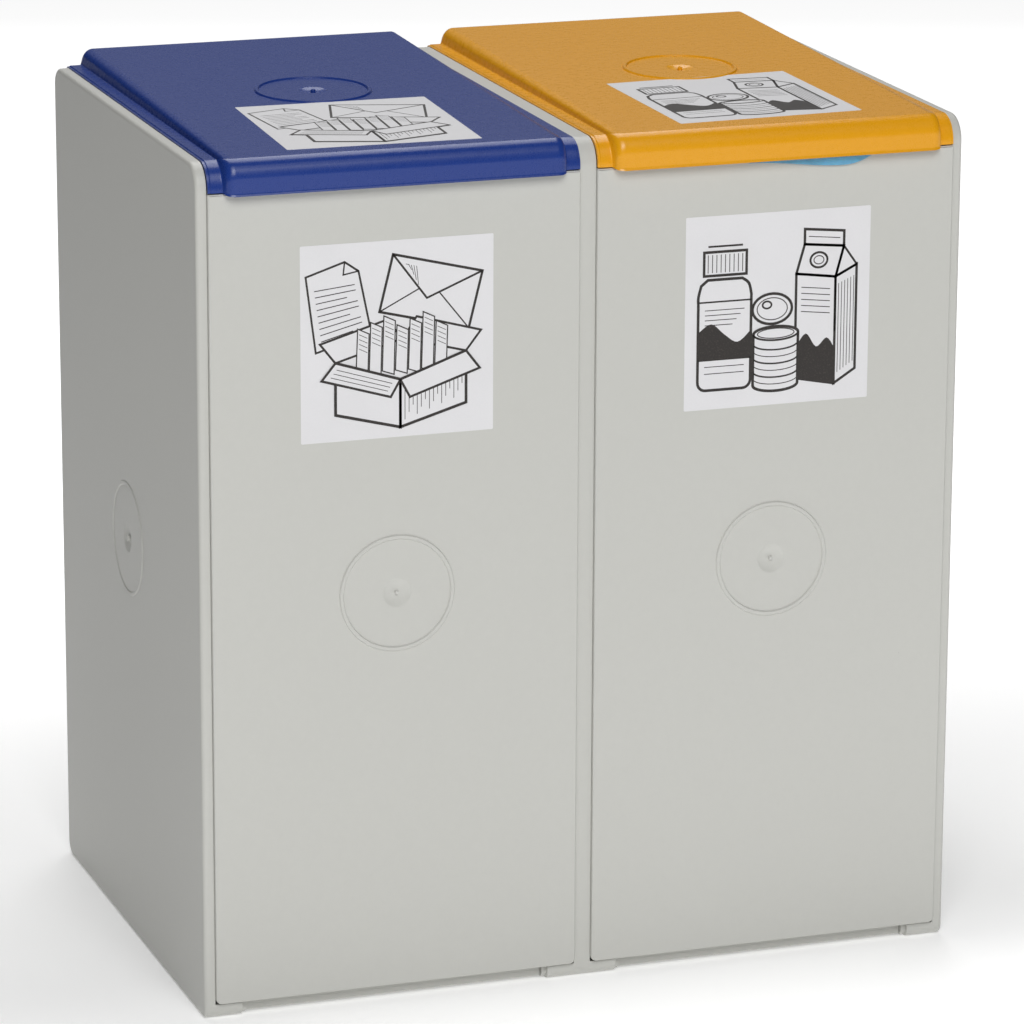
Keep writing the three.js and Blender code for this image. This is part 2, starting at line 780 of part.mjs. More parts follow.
function lidSurface(depth) {
  const flange = lidPath(flangeCorners, flangeRadii, depth);
  const crown = lidPath(crownCorners, crownRadii, depth);
  const columns = lidColumns(depth);
  return flange.map(([y, z], station) => columns.map(([x, share]) => new THREE.Vector3(
    x,
    THREE.MathUtils.lerp(y, crown[station][0], share),
    THREE.MathUtils.lerp(z, crown[station][1], share),
  )));
}

// The moulded lid shell: one stepped, crowned surface with an even wall thickness.
function lidShell() {
  const outer = lidSurface(0);
  const inner = lidSurface(lidThickness);
  const rows = outer.length;
  const columns = outer[0].length;
  const points = [...outer.flat(), ...inner.flat()];
  const top = (row, column) => row * columns + column;
  const under = (row, column) => rows * columns + row * columns + column;
  const triangles = [];
  const quad = (a, b, c, d) => triangles.push([a, b, c], [a, c, d]);
  for (let row = 0; row + 1 < rows; row += 1) {
    for (let column = 0; column + 1 < columns; column += 1) {
      quad(top(row, column), top(row, column + 1), top(row + 1, column + 1), top(row + 1, column));
      quad(under(row, column), under(row + 1, column), under(row + 1, column + 1), under(row, column + 1));
    }
    const last = columns - 1;
    quad(top(row, 0), top(row + 1, 0), under(row + 1, 0), under(row, 0));
    quad(top(row + 1, last), top(row, last), under(row, last), under(row + 1, last));
  }
  for (let column = 0; column + 1 < columns; column += 1) {
    const last = rows - 1;
    quad(top(0, column + 1), top(0, column), under(0, column), under(0, column + 1));
    quad(top(last, column), top(last, column + 1), under(last, column + 1), under(last, column));
  }
  return toSolid(closedGeometry(points, triangles));
}

// Knuckle places along the rod: each group is a rail ear between two lid knuckles.
const knuckleCentres = [-knuckleSpread, knuckleSpread];
const lidKnuckleOffset = knuckleWidth + knuckleGap;

function lid() {
  const midSkin = lidThickness / 2;
  const pieces = [lidShell()];
  for (const side of [-1, 1]) {
    const x = side * lidRibOffset;
    const backY = hingeY - knuckleRadius - lidRibRearGap;
    pieces.push(prism([
      [lidRibFrontInset, lidRibBottom],
      [backY, lidRibBottom],
      [backY, crownHeightAt(backY) - midSkin],
      [lidRibFrontInset, crownHeightAt(lidRibFrontInset) - midSkin],
    ], x - lidRibThickness / 2, x + lidRibThickness / 2, alongX));
  }
  const bores = [];
  for (const centre of knuckleCentres) {
    for (const side of [-1, 1]) {
      const x = centre + side * lidKnuckleOffset;
      const middle = new THREE.Vector3(x, hingeY, hingeHeight);
      const half = knuckleWidth / 2;
      pieces.push(cylinder(knuckleRadius, -half, half, xAxis, middle, knuckleSegments));
      pieces.push(prism([
        [hingeY - knuckleRadius, hingeHeight],
        [hingeY + knuckleRadius, hingeHeight],
        [hingeY + knuckleRadius, crownHeightAt(hingeY) - midSkin],
        [hingeY - knuckleRadius, crownHeightAt(hingeY) - midSkin],
      ], x - half, x + half, alongX));
      bores.push(cylinder(rodRadius + boreClearance, -half - cutPast, half + cutPast, xAxis, middle));
    }
  }
  const shell = cut(joined(pieces), bores);
  const slope = THREE.MathUtils.degToRad(crownSlopeDegrees);
  const outward = new THREE.Vector3(0, -Math.sin(slope), Math.cos(slope));
  const centre = new THREE.Vector3(0, middleOfDepth, crownHeightAt(middleOfDepth));
  return withMedallion(shell, centre, outward);
}

// ---------------------------------------------------------------- hinge rail and rod
function hingeRail() {
  const half = compartmentWidth / 2 - railSideGap;
  const backY = railFrontY + railDepth;
  const bottom = railTop - railHeight;
  const channel = block([-half, railFrontY, bottom], [half, backY, railTop]);
  const hollow = block(
    [-half + railThickness, railFrontY + railThickness, bottom - cutPast],
    [half - railThickness, backY - railThickness, railTop - railThickness],
  );
  const pieces = [channel.subtract(hollow)];
  const bores = [];
  for (const centre of knuckleCentres) {
    const halfEar = knuckleWidth / 2 - knuckleGap;
    const middle = new THREE.Vector3(centre, hingeY, hingeHeight);
    pieces.push(cylinder(knuckleRadius, -halfEar, halfEar, xAxis, middle, knuckleSegments));
    pieces.push(prism([
      [hingeY - earFront, railTop - joinDepth],
      [hingeY - railBehindAxis, railTop - joinDepth],
      [hingeY - railBehindAxis, hingeHeight],
      [hingeY - knuckleRadius, hingeHeight],
    ], centre - halfEar, centre + halfEar, alongX));
    bores.push(cylinder(rodRadius + boreClearance, -halfEar - cutPast, halfEar + cutPast, xAxis, middle));
  }
  for (const side of [-1, 1]) {
    const middle = new THREE.Vector3(side * half, railScrewY, railScrewZ);
    const reach = railThickness + cutPast;
    bores.push(cylinder(screwRadius + screwClearance, -reach, reach, xAxis, middle, screwSegments));
  }
  return cut(joined(pieces), bores);
}

function hingeRod() {
  const half = compartmentWidth / 2 + rodSocketDepth;
  return revolved([
    [0, -half],
    [rodRadius - rodChamfer, -half],
    [rodRadius, -half + rodChamfer],
    [rodRadius, half - rodChamfer],
    [rodRadius - rodChamfer, half],
    [0, half],
  ], knuckleSegments, xAxis, new THREE.Vector3(0, hingeY, hingeHeight));
}

// ---------------------------------------------------------------- bag frame and bag
const bagFrameBottom = ledgeTop + bagFrameSeatGap;
const bagFrameTopZ = bagFrameBottom + bagFrameThickness;
const bagFrameBack = railFrontY - bagFrameBackGap;
const bagFrameHalf = compartmentWidth / 2 - bagFrameSideGap;
const collarBottom = bagFrameTopZ - bagFrameCollar;
const cuffBottom = bagFrameTopZ + bagCuffGap;
const cuffTop = cuffBottom + bagFilm;

function framePlate(inset, bottom, top) {
  const box = [-bagFrameHalf, bagFrameFrontInset, bagFrameHalf, bagFrameBack];
  const radii = Array(4).fill(bagFrameCornerRadius);
  return roundedPlate(box, radii, [[bottom, inset], [top, inset]], alongZ);
}

function bagFrame() {
  const rim = framePlate(0, bagFrameBottom, bagFrameTopZ);
  const collar = framePlate(bagFrameRail - bagCollarWall, collarBottom, bagFrameTopZ - joinDepth);
  const mouth = framePlate(bagFrameRail, collarBottom - cutPast, bagFrameTopZ + cutPast);
  return rim.add(collar).subtract(mouth);
}

// The bag hangs inside the collar, spreads out below it, and folds over the frame. Its base
// is drawn in along a quarter ellipse. A film of 0 gives the outside of the bag.
function bagRings(film, rimZ) {
  const half = bagFrameHalf - bagFrameRail - bagCuffGap - film;
  const front = bagFrameFrontInset + bagFrameRail + bagCuffGap + film;
  const back = bagFrameBack - bagFrameRail - bagCuffGap - film;
  const floorZ = trayTop + bagFloorGap + film;
  const base = [0, 45, 90].map((degrees) => {
    const angle = THREE.MathUtils.degToRad(degrees);
    const rise = bagBaseTurn * (1 - Math.cos(angle));
    return [floorZ + rise, bagSideGap * 2 + bagBaseShrink * (1 - Math.sin(angle))];
  });
  const sections = [
    ...base,
    [collarBottom - bagSpread, bagSideGap],
    [collarBottom, 0],
    [rimZ, 0],
  ];
  return sections.map(([z, inset]) => (
    roundedOutline([-half, front, half, back], Array(4).fill(bagCornerRadius), inset)
      .map(([x, y]) => alongZ(x, y, z))
  ));
}

function linerBag() {
  const cuffInset = bagFrameRail - bagCuffWidth;
  const outer = toSolid(ringLoft(bagRings(0, cuffTop)));
  const inner = toSolid(ringLoft(bagRings(bagFilm, cuffTop + cutPast)));
  const cuff = framePlate(cuffInset, cuffBottom, cuffTop);
  const outerY = -panelProud - tongueStandOff;
  const lining = [
    [bagFrameFrontInset + cuffInset + tongueRoot, cuffBottom],
    [bagFrameFrontInset - foldEdgeGap, cuffBottom],
    [-panelProud + panelEdgeRadius, frontPanelTop + tongueStandOff],
    [outerY, frontPanelTop - panelEdgeRadius],
    [outerY, tongueBottom],
  ];
  const outline = [...lining, ...offsetPath(lining, -bagFilm).reverse()];
  const [from, to] = [tongueOffset - tongueWidth / 2, tongueOffset + tongueWidth / 2];
  return joined([outer, cuff, prism(outline, from, to, alongX)]).subtract(inner);
}

// ---------------------------------------------------------------- screws
const headStandOff = screwHeadHeight + screwHeadGap;

function screw(length, direction, headFace) {
  return revolved([
    [0, 0],
    [screwHeadRadius - screwHeadTaper, 0],
    [screwHeadRadius, screwHeadHeight],
    [screwRadius, screwHeadHeight],
    [screwRadius, screwHeadHeight + length - screwTip],
    [0, screwHeadHeight + length],
  ], screwSegments, direction, headFace);
}

// ---------------------------------------------------------------- assembly
const bin = new THREE.Group();
bin.position.y = (skirtReach + lipFlare) - overallDepth / 2;

function addPart(name, solid, material, x = 0) {
  const mesh = new THREE.Mesh(toGeometry(solid), material);
  mesh.name = name;
  mesh.position.x = x;
  bin.add(mesh);
}

addPart('side_wall_left', sideWall(-1), greyPlastic());
addPart('side_wall_right', sideWall(1), greyPlastic());
addPart('centre_partition', partition(), greyPlastic());

const compartments = [
  { side: 'left', x: -compartmentOffset, lidMaterial: bluePlastic },
  { side: 'right', x: compartmentOffset, lidMaterial: yellowPlastic },
];

for (const { side, x, lidMaterial } of compartments) {
  addPart(`floor_tray_${side}`, floorTray(), greyPlastic(), x);
  addPart(`front_panel_${side}`, frontPanel(), greyPlastic(), x);
  addPart(`back_panel_${side}`, backPanel(), greyPlastic(), x);
  addPart(`hinge_rail_${side}`, hingeRail(), greyPlastic(), x);
  addPart(`hinge_rod_${side}`, hingeRod(), steel(), x);
  addPart(`bag_frame_${side}`, bagFrame(), darkPlastic(), x);
  addPart(`lid_${side}`, lid(), lidMaterial(), x);
  for (const end of [-1, 1]) {
    const label = end < 0 ? 'a' : 'b';
    const outward = xAxis.clone().multiplyScalar(end);
    const railInside = compartmentWidth / 2 - railSideGap - railThickness;
    const railSeat = new THREE.Vector3(end * (railInside - headStandOff), railScrewY, railScrewZ);
    addPart(`rail_screw_${side}_${label}`, screw(railScrewLength, outward, railSeat), steel(), x);
    floorScrewPlaces(end * compartmentWidth / 2, -end).forEach((point, row) => {
      const floorSeat = point.clone().setZ(counterboreDepth - headStandOff);
      const name = `floor_screw_${side}_${label}_${row === 0 ? 'front' : 'back'}`;
      addPart(name, screw(floorScrewLength, zAxis, floorSeat), steel(), x);
    });
  }
}

addPart('liner_bag_right', linerBag(), filmPlastic(), compartmentOffset);

export default bin;
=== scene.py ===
"""Looks of the double recycling bin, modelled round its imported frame.

Lengths in the classes are millimetres: x counts from the middle of the partition, y from the
front edges of the walls towards the back, and z from the floor. Bench.finish brings a finished
mesh into the frame's metres.
"""

from __future__ import annotations

import logging
import math
import sys
from collections.abc import Callable, Iterator, Sequence
from contextlib import contextmanager
from dataclasses import dataclass, field
from enum import Enum

import bmesh
import bpy
from mathutils import Matrix, Vector, noise

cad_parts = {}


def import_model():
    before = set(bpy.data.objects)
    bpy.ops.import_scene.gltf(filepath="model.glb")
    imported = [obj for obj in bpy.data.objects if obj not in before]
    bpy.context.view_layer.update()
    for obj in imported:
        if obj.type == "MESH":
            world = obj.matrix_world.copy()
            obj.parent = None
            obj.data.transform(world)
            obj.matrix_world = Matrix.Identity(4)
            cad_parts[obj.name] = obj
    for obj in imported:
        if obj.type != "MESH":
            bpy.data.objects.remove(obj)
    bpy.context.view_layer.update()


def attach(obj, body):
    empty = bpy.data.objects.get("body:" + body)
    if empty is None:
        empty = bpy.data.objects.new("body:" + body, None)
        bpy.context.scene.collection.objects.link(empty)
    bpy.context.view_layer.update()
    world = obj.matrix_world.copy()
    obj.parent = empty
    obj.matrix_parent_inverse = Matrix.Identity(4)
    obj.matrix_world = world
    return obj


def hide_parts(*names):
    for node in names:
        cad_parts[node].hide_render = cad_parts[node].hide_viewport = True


Triple = tuple[float, float, float]
Pair = tuple[float, float]
Object = bpy.types.Object
Material = bpy.types.Material

LOG = logging.getLogger("bin")
METRES = 0.001
WALL_FRONT = -0.18735  # the walls' front edges in the frame, in metres
COMPARTMENT = 140.7  # middle of a compartment, left and right of the partition's
NEAR = 0.01  # up to this far apart, two places count as one, in millimetres
MERGE = 0.002  # points this close are merged, in millimetres
FACING = 0.999  # a face looks along an axis when its normal has this much of it


class Axis(Enum):
    """Axes of the frame."""

    X = 0
    Y = 1
    Z = 2


class Side(Enum):
    """Left and right compartment, by the sign of x."""

    LEFT = -1
    RIGHT = 1

    @property
    def word(self) -> str:
        """The side's name as the frame's nodes have it."""
        return self.name.lower()


class Tone(Enum):
    """The two tones of a printed label."""

    PAPER = 0
    INK = 1


def between(a: Pair, b: Pair, share: float) -> Pair:
    """A point on the way from one to another."""
    return (a[0] + (b[0] - a[0]) * share, a[1] + (b[1] - a[1]) * share)


def beside(points: Sequence[Pair], distance: float, closed: bool) -> list[Pair]:
    """A line moved sideways, to its left, with mitred corners.

    Args:
        points: The line's corners.
        distance: How far it moves.
        closed: Whether the last corner joins the first.

    Returns:
        The moved corners.
    """
    moved = []
    count = len(points)
    for index, (x, y) in enumerate(points):
        ways = []
        if index or closed:
            before = points[index - 1]
            ways.append(Vector((x - before[0], y - before[1])).normalized())
        if index + 1 < count or closed:
            after = points[(index + 1) % count]
            ways.append(Vector((after[0] - x, after[1] - y)).normalized())
        normals = [Vector((-way.y, way.x)) for way in ways]
        middle = sum(normals, Vector((0, 0))).normalized()
        reach = distance / max(middle.dot(normals[0]), 0.4)
        moved.append((x + middle.x * reach, y + middle.y * reach))
    return moved


# ---- bench


class Bench:
    """Hand modelling steps, one object at a time."""

    def clear(self) -> None:
        """Goes to object mode with nothing selected."""
        active = bpy.context.view_layer.objects.active
        if active is not None and active.mode != "OBJECT":
            bpy.ops.object.mode_set(mode="OBJECT")
        bpy.ops.object.select_all(action="DESELECT")

    def hold(self, *objs: Object) -> None:
        """Selects objects alone and makes the first one active.

        Args:
            objs: The objects.
        """
        self.clear()
        for obj in objs:
            obj.select_set(True)
        bpy.context.view_layer.objects.active = objs[0]

    @contextmanager
    def editing(self, obj: Object, mode: str = "VERT") -> Iterator[None]:
        """Edit mode on one object, with nothing selected at the start.

        Args:
            obj: The object to edit.
            mode: VERT, EDGE or FACE selection.
        """
        self.hold(obj)
        bpy.ops.object.mode_set(mode="EDIT")
        bpy.ops.mesh.select_mode(type=mode)
        bpy.ops.mesh.select_all(action="DESELECT")
        yield
        bpy.ops.object.mode_set(mode="OBJECT")

    def pick_points(self, obj: Object, test: Callable[[Vector], bool]) -> None:
        """Selects the points whose place passes a test.

        Args:
            obj: The edited object.
            test: Takes a point's place.
        """
        shape = bmesh.from_edit_mesh(obj.data)
        for point in shape.verts:
            point.select = test(point.co)
        shape.select_flush(True)
        bmesh.update_edit_mesh(obj.data)

    def pick_edges(self, obj: Object, test: Callable[[Vector, Vector], bool]) -> None:
        """Selects the edges whose two ends pass a test.

        Args:
            obj: The edited object.
            test: Takes both ends' places.
        """
        shape = bmesh.from_edit_mesh(obj.data)
        for edge in shape.edges:
            edge.select = test(edge.verts[0].co, edge.verts[1].co)
        bmesh.update_edit_mesh(obj.data)

    def pick_faces(self, obj: Object, test: Callable[[Vector, Vector], bool]) -> None:
        """Selects the faces whose middle and normal pass a test."""
        shape = bmesh.from_edit_mesh(obj.data)
        for face in shape.faces:
            face.select = test(face.calc_center_median(), face.normal)
        bmesh.update_edit_mesh(obj.data)

    # ---- starting shapes

    def block(self, name: str, low: Triple, high: Triple) -> Object:
        """A box between two corners.

        Args:
            name: Its name.
            low: One corner.
            high: The opposite corner.

        Returns:
            The box, at its place.
        """
        self.clear()
        size = [abs(b - a) for a, b in zip(low, high)]
        middle = [(a + b) / 2 for a, b in zip(low, high)]
        bpy.ops.mesh.primitive_cube_add(size=1, location=middle, scale=size)
        obj = bpy.context.object
        obj.name = name
        bpy.ops.object.transform_apply(location=True, rotation=False, scale=False)
        return obj

    def wire(self, name: str, corners: Sequence[Triple], radii: Sequence[float], steps: int) -> Object:
        """An open line drawn by extruding a point, with its inner corners rounded.

        Args:
            name: Its name.
            corners: The line's corners in space.
            radii: Each corner's radius, 0 where sharp.
            steps: Segments of a rounded corner.

        Returns:
            The line as a mesh of edges.
        """
        self.clear()
        bpy.ops.mesh.primitive_plane_add(size=1, location=(0, 0, 0))
        obj = bpy.context.object
        obj.name = name
        with self.editing(obj):
            bpy.ops.mesh.select_all(action="SELECT")
            bpy.ops.mesh.merge(type="CENTER")
            bpy.ops.transform.translate(value=corners[0])
            for before, after in zip(corners, corners[1:]):
                step = [b - a for a, b in zip(before, after)]
                bpy.ops.mesh.extrude_region_move(TRANSFORM_OT_translate={"value": step})
            for index in range(1, len(corners) - 1):
                self._round(obj, corners, index, radii[index], steps)
        return obj

    def _round(self, obj: Object, corners: Sequence[Triple], index: int, radius: float, steps: int) -> None:
        """Rounds one corner of a drawn line.

        Args:
            obj: The edited line.
            corners: The line's corners.
            index: Which corner.
            radius: Its radius; 0 leaves it sharp.
            steps: Its segments.
        """
        if radius <= 0:
            return
        count = len(corners)
        here = Vector(corners[index])
        back = Vector(corners[index - 1]) - here
        ahead = Vector(corners[(index + 1) % count]) - here
        reach = radius / math.tan(back.angle(ahead) / 2)
        self.pick_points(obj, lambda place: (place - here).length < NEAR)
        bpy.ops.mesh.bevel(
            affect="VERTICES", offset_type="ABSOLUTE", offset=reach, segments=steps, clamp_overlap=False
        )

    def prism(
        self,
        name: str,
        axis: Axis,
        outline: Sequence[Pair],
        start: float,
        end: float,
        radii: Sequence[float] = (),
        steps: int = 8,
    ) -> Object:
        """A drawn outline, filled and extruded along an axis.

        Args:
            name: Its name.
            axis: The direction of the extrusion.
            outline: Corners in the other two axes, in their order.
            start: Where the outline lies along the axis.
            end: Where the extrusion ends.
            radii: Each corner's radius, 0 where sharp.
            steps: Segments of a rounded corner.

        Returns:
            The closed prism.
        """
        corners = [self._lift(axis, u, v, start) for u, v in outline]
        obj = self.wire(name, corners, (0,) * len(corners), steps)
        push = self._lift(axis, 0, 0, end - start)
        with self.editing(obj):
            self._close(obj, (corners[0], corners[-1]))
            for index, radius in enumerate(radii):
                self._round(obj, corners, index, radius, steps)
            bpy.ops.mesh.select_all(action="SELECT")
            bpy.ops.mesh.edge_face_add()
            bpy.ops.mesh.extrude_region_move(TRANSFORM_OT_translate={"value": push})
            bpy.ops.mesh.select_all(action="SELECT")
            bpy.ops.mesh.normals_make_consistent(inside=False)
        return obj

    def _close(self, obj: Object, ends: Sequence[Triple]) -> None:
        """Joins a drawn line's two ends by an edge."""
        self.pick_points(obj, lambda place: min((place - Vector(end)).length for end in ends) < NEAR)
        bpy.ops.mesh.edge_face_add()

    @staticmethod
    def _lift(axis: Axis, u: float, v: float, along: float) -> Triple:
        """A point from two outline lengths and a third along an axis."""
        return {Axis.X: (along, u, v), Axis.Y: (u, along, v), Axis.Z: (u, v, along)}[axis]

    def turned(
        self,
        name: str,
        profile: Sequence[Pair],
        centre: Triple,
        direction: Triple,
        segments: int,
        closed: bool = False,
    ) -> Object:
        """A profile spun round an axis.

        Args:
            name: Its name.
            profile: Corners as radius and height; an open one starts and ends on the axis.
            centre: Where height 0 of the axis lies.
            direction: Where the axis points.
            segments: Faces round the axis.
            closed: Joins the profile's ends.

        Returns:
            The closed turned solid.
        """
        corners = [(radius, 0, height) for radius, height in profile]
        obj = self.wire(name, corners, (0,) * len(profile), 1)
        with self.editing(obj):
            if closed:
                self._close(obj, (corners[0], corners[-1]))
            bpy.ops.mesh.select_all(action="SELECT")
            bpy.ops.mesh.spin(steps=segments, angle=2 * math.pi, center=(0, 0, 0), axis=(0, 0, 1))
            bpy.ops.mesh.select_all(action="SELECT")
            bpy.ops.mesh.remove_doubles(threshold=NEAR / 10)
            bpy.ops.mesh.normals_make_consistent(inside=False)
        turn = Vector(direction).to_track_quat("Z", "Y").to_matrix().to_4x4()
        return self.put(obj, Matrix.Translation(centre) @ turn)

    def pin(
        self, radius: float, low: float, high: float, centre: Triple, direction: Triple, segments: int = 32
    ) -> Object:
        """A cylinder along an axis, from a low to a high place on it, for bosses and bores."""
        profile = [(0, low), (radius, low), (radius, high), (0, high)]
        return self.turned("pin", profile, centre, direction, segments)

    # ---- changes

    def put(self, obj: Object, place: Matrix) -> Object:
        """Moves and turns an object, and applies that to its mesh."""
        self.hold(obj)
        obj.matrix_world = place
        bpy.ops.object.transform_apply(location=True, rotation=True, scale=True)
        return obj

    def copy(self, obj: Object, name: str, shift: Triple = (0, 0, 0)) -> Object:
        """A copy with its own mesh."""
        self.hold(obj)
        bpy.ops.object.duplicate(linked=False)
        twin = bpy.context.object
        twin.name = name
        return self.put(twin, Matrix.Translation(shift))

    def mirrored(self, obj: Object, name: str) -> Object:
        """A copy mirrored across the partition's middle, its faces outwards again."""
        twin = self.copy(obj, name)
        with self.editing(twin):
            bpy.ops.mesh.select_all(action="SELECT")
            bpy.ops.transform.mirror(constraint_axis=(True, False, False), center_override=(0, 0, 0))
            bpy.ops.mesh.normals_make_consistent(inside=False)
        return twin

    def apply(self, obj: Object, kind: str, **settings: object) -> Object:
        """Adds a modifier with its settings and applies it.

        Args:
            obj: The object to change.
            kind: The modifier's type.
            settings: The modifier's properties.

        Returns:
            The changed object.
        """
        self.hold(obj)
        modifier = obj.modifiers.new(kind.title(), kind)
        for key, value in settings.items():
            setattr(modifier, key, value)
        bpy.ops.object.modifier_apply(modifier=modifier.name)
        return obj

    def join(self, objs: Sequence[Object]) -> Object:
        """Joins objects into the first one.

        Args:
            objs: The objects.

        Returns:
            The first one.
        """
        if len(objs) > 1:
            self.hold(*objs)
            bpy.ops.object.join()
        return objs[0]

    def _boolean(self, obj: Object, other: Object, operation: str) -> Object:
        """One boolean, DIFFERENCE or UNION, after which the other object is gone."""
        self.apply(obj, "BOOLEAN", operation=operation, solver="MANIFOLD", object=other)
        bpy.data.objects.remove(other)
        return obj

    def cut(self, obj: Object, *tools: Object) -> Object:
        """Takes tools that don't touch each other out of an object."""
        return self._boolean(obj, self.join(tools), "DIFFERENCE")

    def fuse(self, obj: Object, *others: Object) -> Object:
        """Makes one solid of an object and others, one after the other."""
        for other in others:
            self._boolean(obj, other, "UNION")
        return obj

    def soften(self, obj: Object, width: float, steps: int = 2, angle: float = 40) -> Object:
        """Rounds every edge sharper than an angle in degrees."""
        limit = math.radians(angle)
        return self.apply(obj, "BEVEL", width=width, segments=steps, limit_method="ANGLE", angle_limit=limit)

    def bevel(
        self, obj: Object, test: Callable[[Vector, Vector], bool], radius: float, steps: int
    ) -> Object:
        """Rounds the edges whose two ends pass a test.

        Args:
            obj: The object.
            test: Takes both ends' places.
            radius: The radius.
            steps: Its segments.

        Returns:
            The object.
        """
        with self.editing(obj, "EDGE"):
            self.pick_edges(obj, test)
            bpy.ops.mesh.bevel(offset_type="OFFSET", offset=radius, segments=steps, clamp_overlap=False)
        return obj

    def hollow(self, obj: Object, axis: Axis, direction: int, wall: float, depth: float) -> None:
        """Insets the face that looks in a direction and sinks it, so that a tray is left.

        Args:
            obj: A plate.
            axis: The axis of the face's normal.
            direction: 1 or -1 along that axis.
            wall: Thickness left round the hollow.
            depth: How far the face sinks.
        """
        push = [0.0, 0.0, 0.0]
        push[axis.value] = -direction * depth
        with self.editing(obj, "FACE"):
            self.pick_faces(obj, lambda middle, normal: normal[axis.value] * direction > FACING)
            bpy.ops.mesh.inset(thickness=wall, use_even_offset=True)
            bpy.ops.mesh.extrude_region_move(TRANSFORM_OT_translate={"value": push})

    def weld(self, obj: Object) -> Object:
        """Merges points that lie on each other and drops faces without a size."""
        with self.editing(obj):
            bpy.ops.mesh.select_all(action="SELECT")
            bpy.ops.mesh.remove_doubles(threshold=MERGE)
            bpy.ops.mesh.dissolve_degenerate(threshold=MERGE)
        return obj

    def finish(self, obj: Object, angle: float = 32) -> Object:
        """Brings a finished mesh into the frame, in metres, with smooth rounded edges.

        Args:
            obj: The modelled object.
            angle: Sharper edges stay sharp, in degrees.

        Returns:
            The object, at the origin and unscaled, its place in its mesh.
        """
        self.put(obj, Matrix.Translation((0, WALL_FRONT, 0)) @ Matrix.Scale(METRES, 4))
        bpy.ops.object.shade_smooth_by_angle(angle=math.radians(angle))
        self.apply(obj, "WEIGHTED_NORMAL", keep_sharp=True, weight=100)
        return obj


BENCH = Bench()


def settle(obj: Object, body: str, nodes: Sequence[str], slot: str | None) -> None:
    """Lets a finished piece ride on its body and stand for its nodes.

    Args:
        obj: The finished piece.
        body: The body that it moves with.
        nodes: The frame's nodes that it stands for.
        slot: Not used.
    """
    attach(obj, body)
    if nodes:
        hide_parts(*nodes)
    LOG.info("%s: %d faces", obj.name, len(obj.data.polygons))


def dress(obj: Object, material: Material) -> Object:
    """Gives an object its material.

    Args:
        obj: The object.
        material: Its finish.

    Returns:
        The object.
    """
    obj.data.materials.clear()
    obj.data.materials.append(material)
    return obj


def deliver(
    obj: Object, material: Material, body: str, node: str, slot: str, angle: float = 32
) -> None:
    """Welds, finishes, dresses and settles a piece that stands for one node."""
    settle(dress(BENCH.finish(BENCH.weld(obj), angle), material), body, [node], slot)


def twins(first: Object, word: str) -> list[tuple[Side, Object]]:
    """Brings a piece made in the middle of x into both compartments.

    Args:
        first: The left piece.
        word: The pieces' shared name, without the side.

    Returns:
        Each side with its piece.
    """
    second = BENCH.copy(first, f"{word}_right_finished", (COMPARTMENT, 0, 0))
    BENCH.put(first, Matrix.Translation((-COMPARTMENT, 0, 0)))
    return [(Side.LEFT, first), (Side.RIGHT, second)]


# ---- finishes


class Flow:
    """A number on its way through a material: a socket with arithmetic."""

    def __init__(self, board: Board, socket: bpy.types.NodeSocket) -> None:
        """Wraps a socket of a board."""
        self.board = board
        self.socket = socket

    def __add__(self, other: Flow | float) -> Flow:
        """Sum."""
        return self.board.maths("ADD", self, other)

    def __radd__(self, other: float) -> Flow:
        """Sum, number first."""
        return self.board.maths("ADD", other, self)

    def __sub__(self, other: Flow | float) -> Flow:
        """Difference."""
        return self.board.maths("SUBTRACT", self, other)

    def __rsub__(self, other: float) -> Flow:
        """Difference, number first."""
        return self.board.maths("SUBTRACT", other, self)

    def __mul__(self, other: Flow | float) -> Flow:
        """Product."""
        return self.board.maths("MULTIPLY", self, other)

    def __rmul__(self, other: float) -> Flow:
        """Product, number first."""
        return self.board.maths("MULTIPLY", other, self)


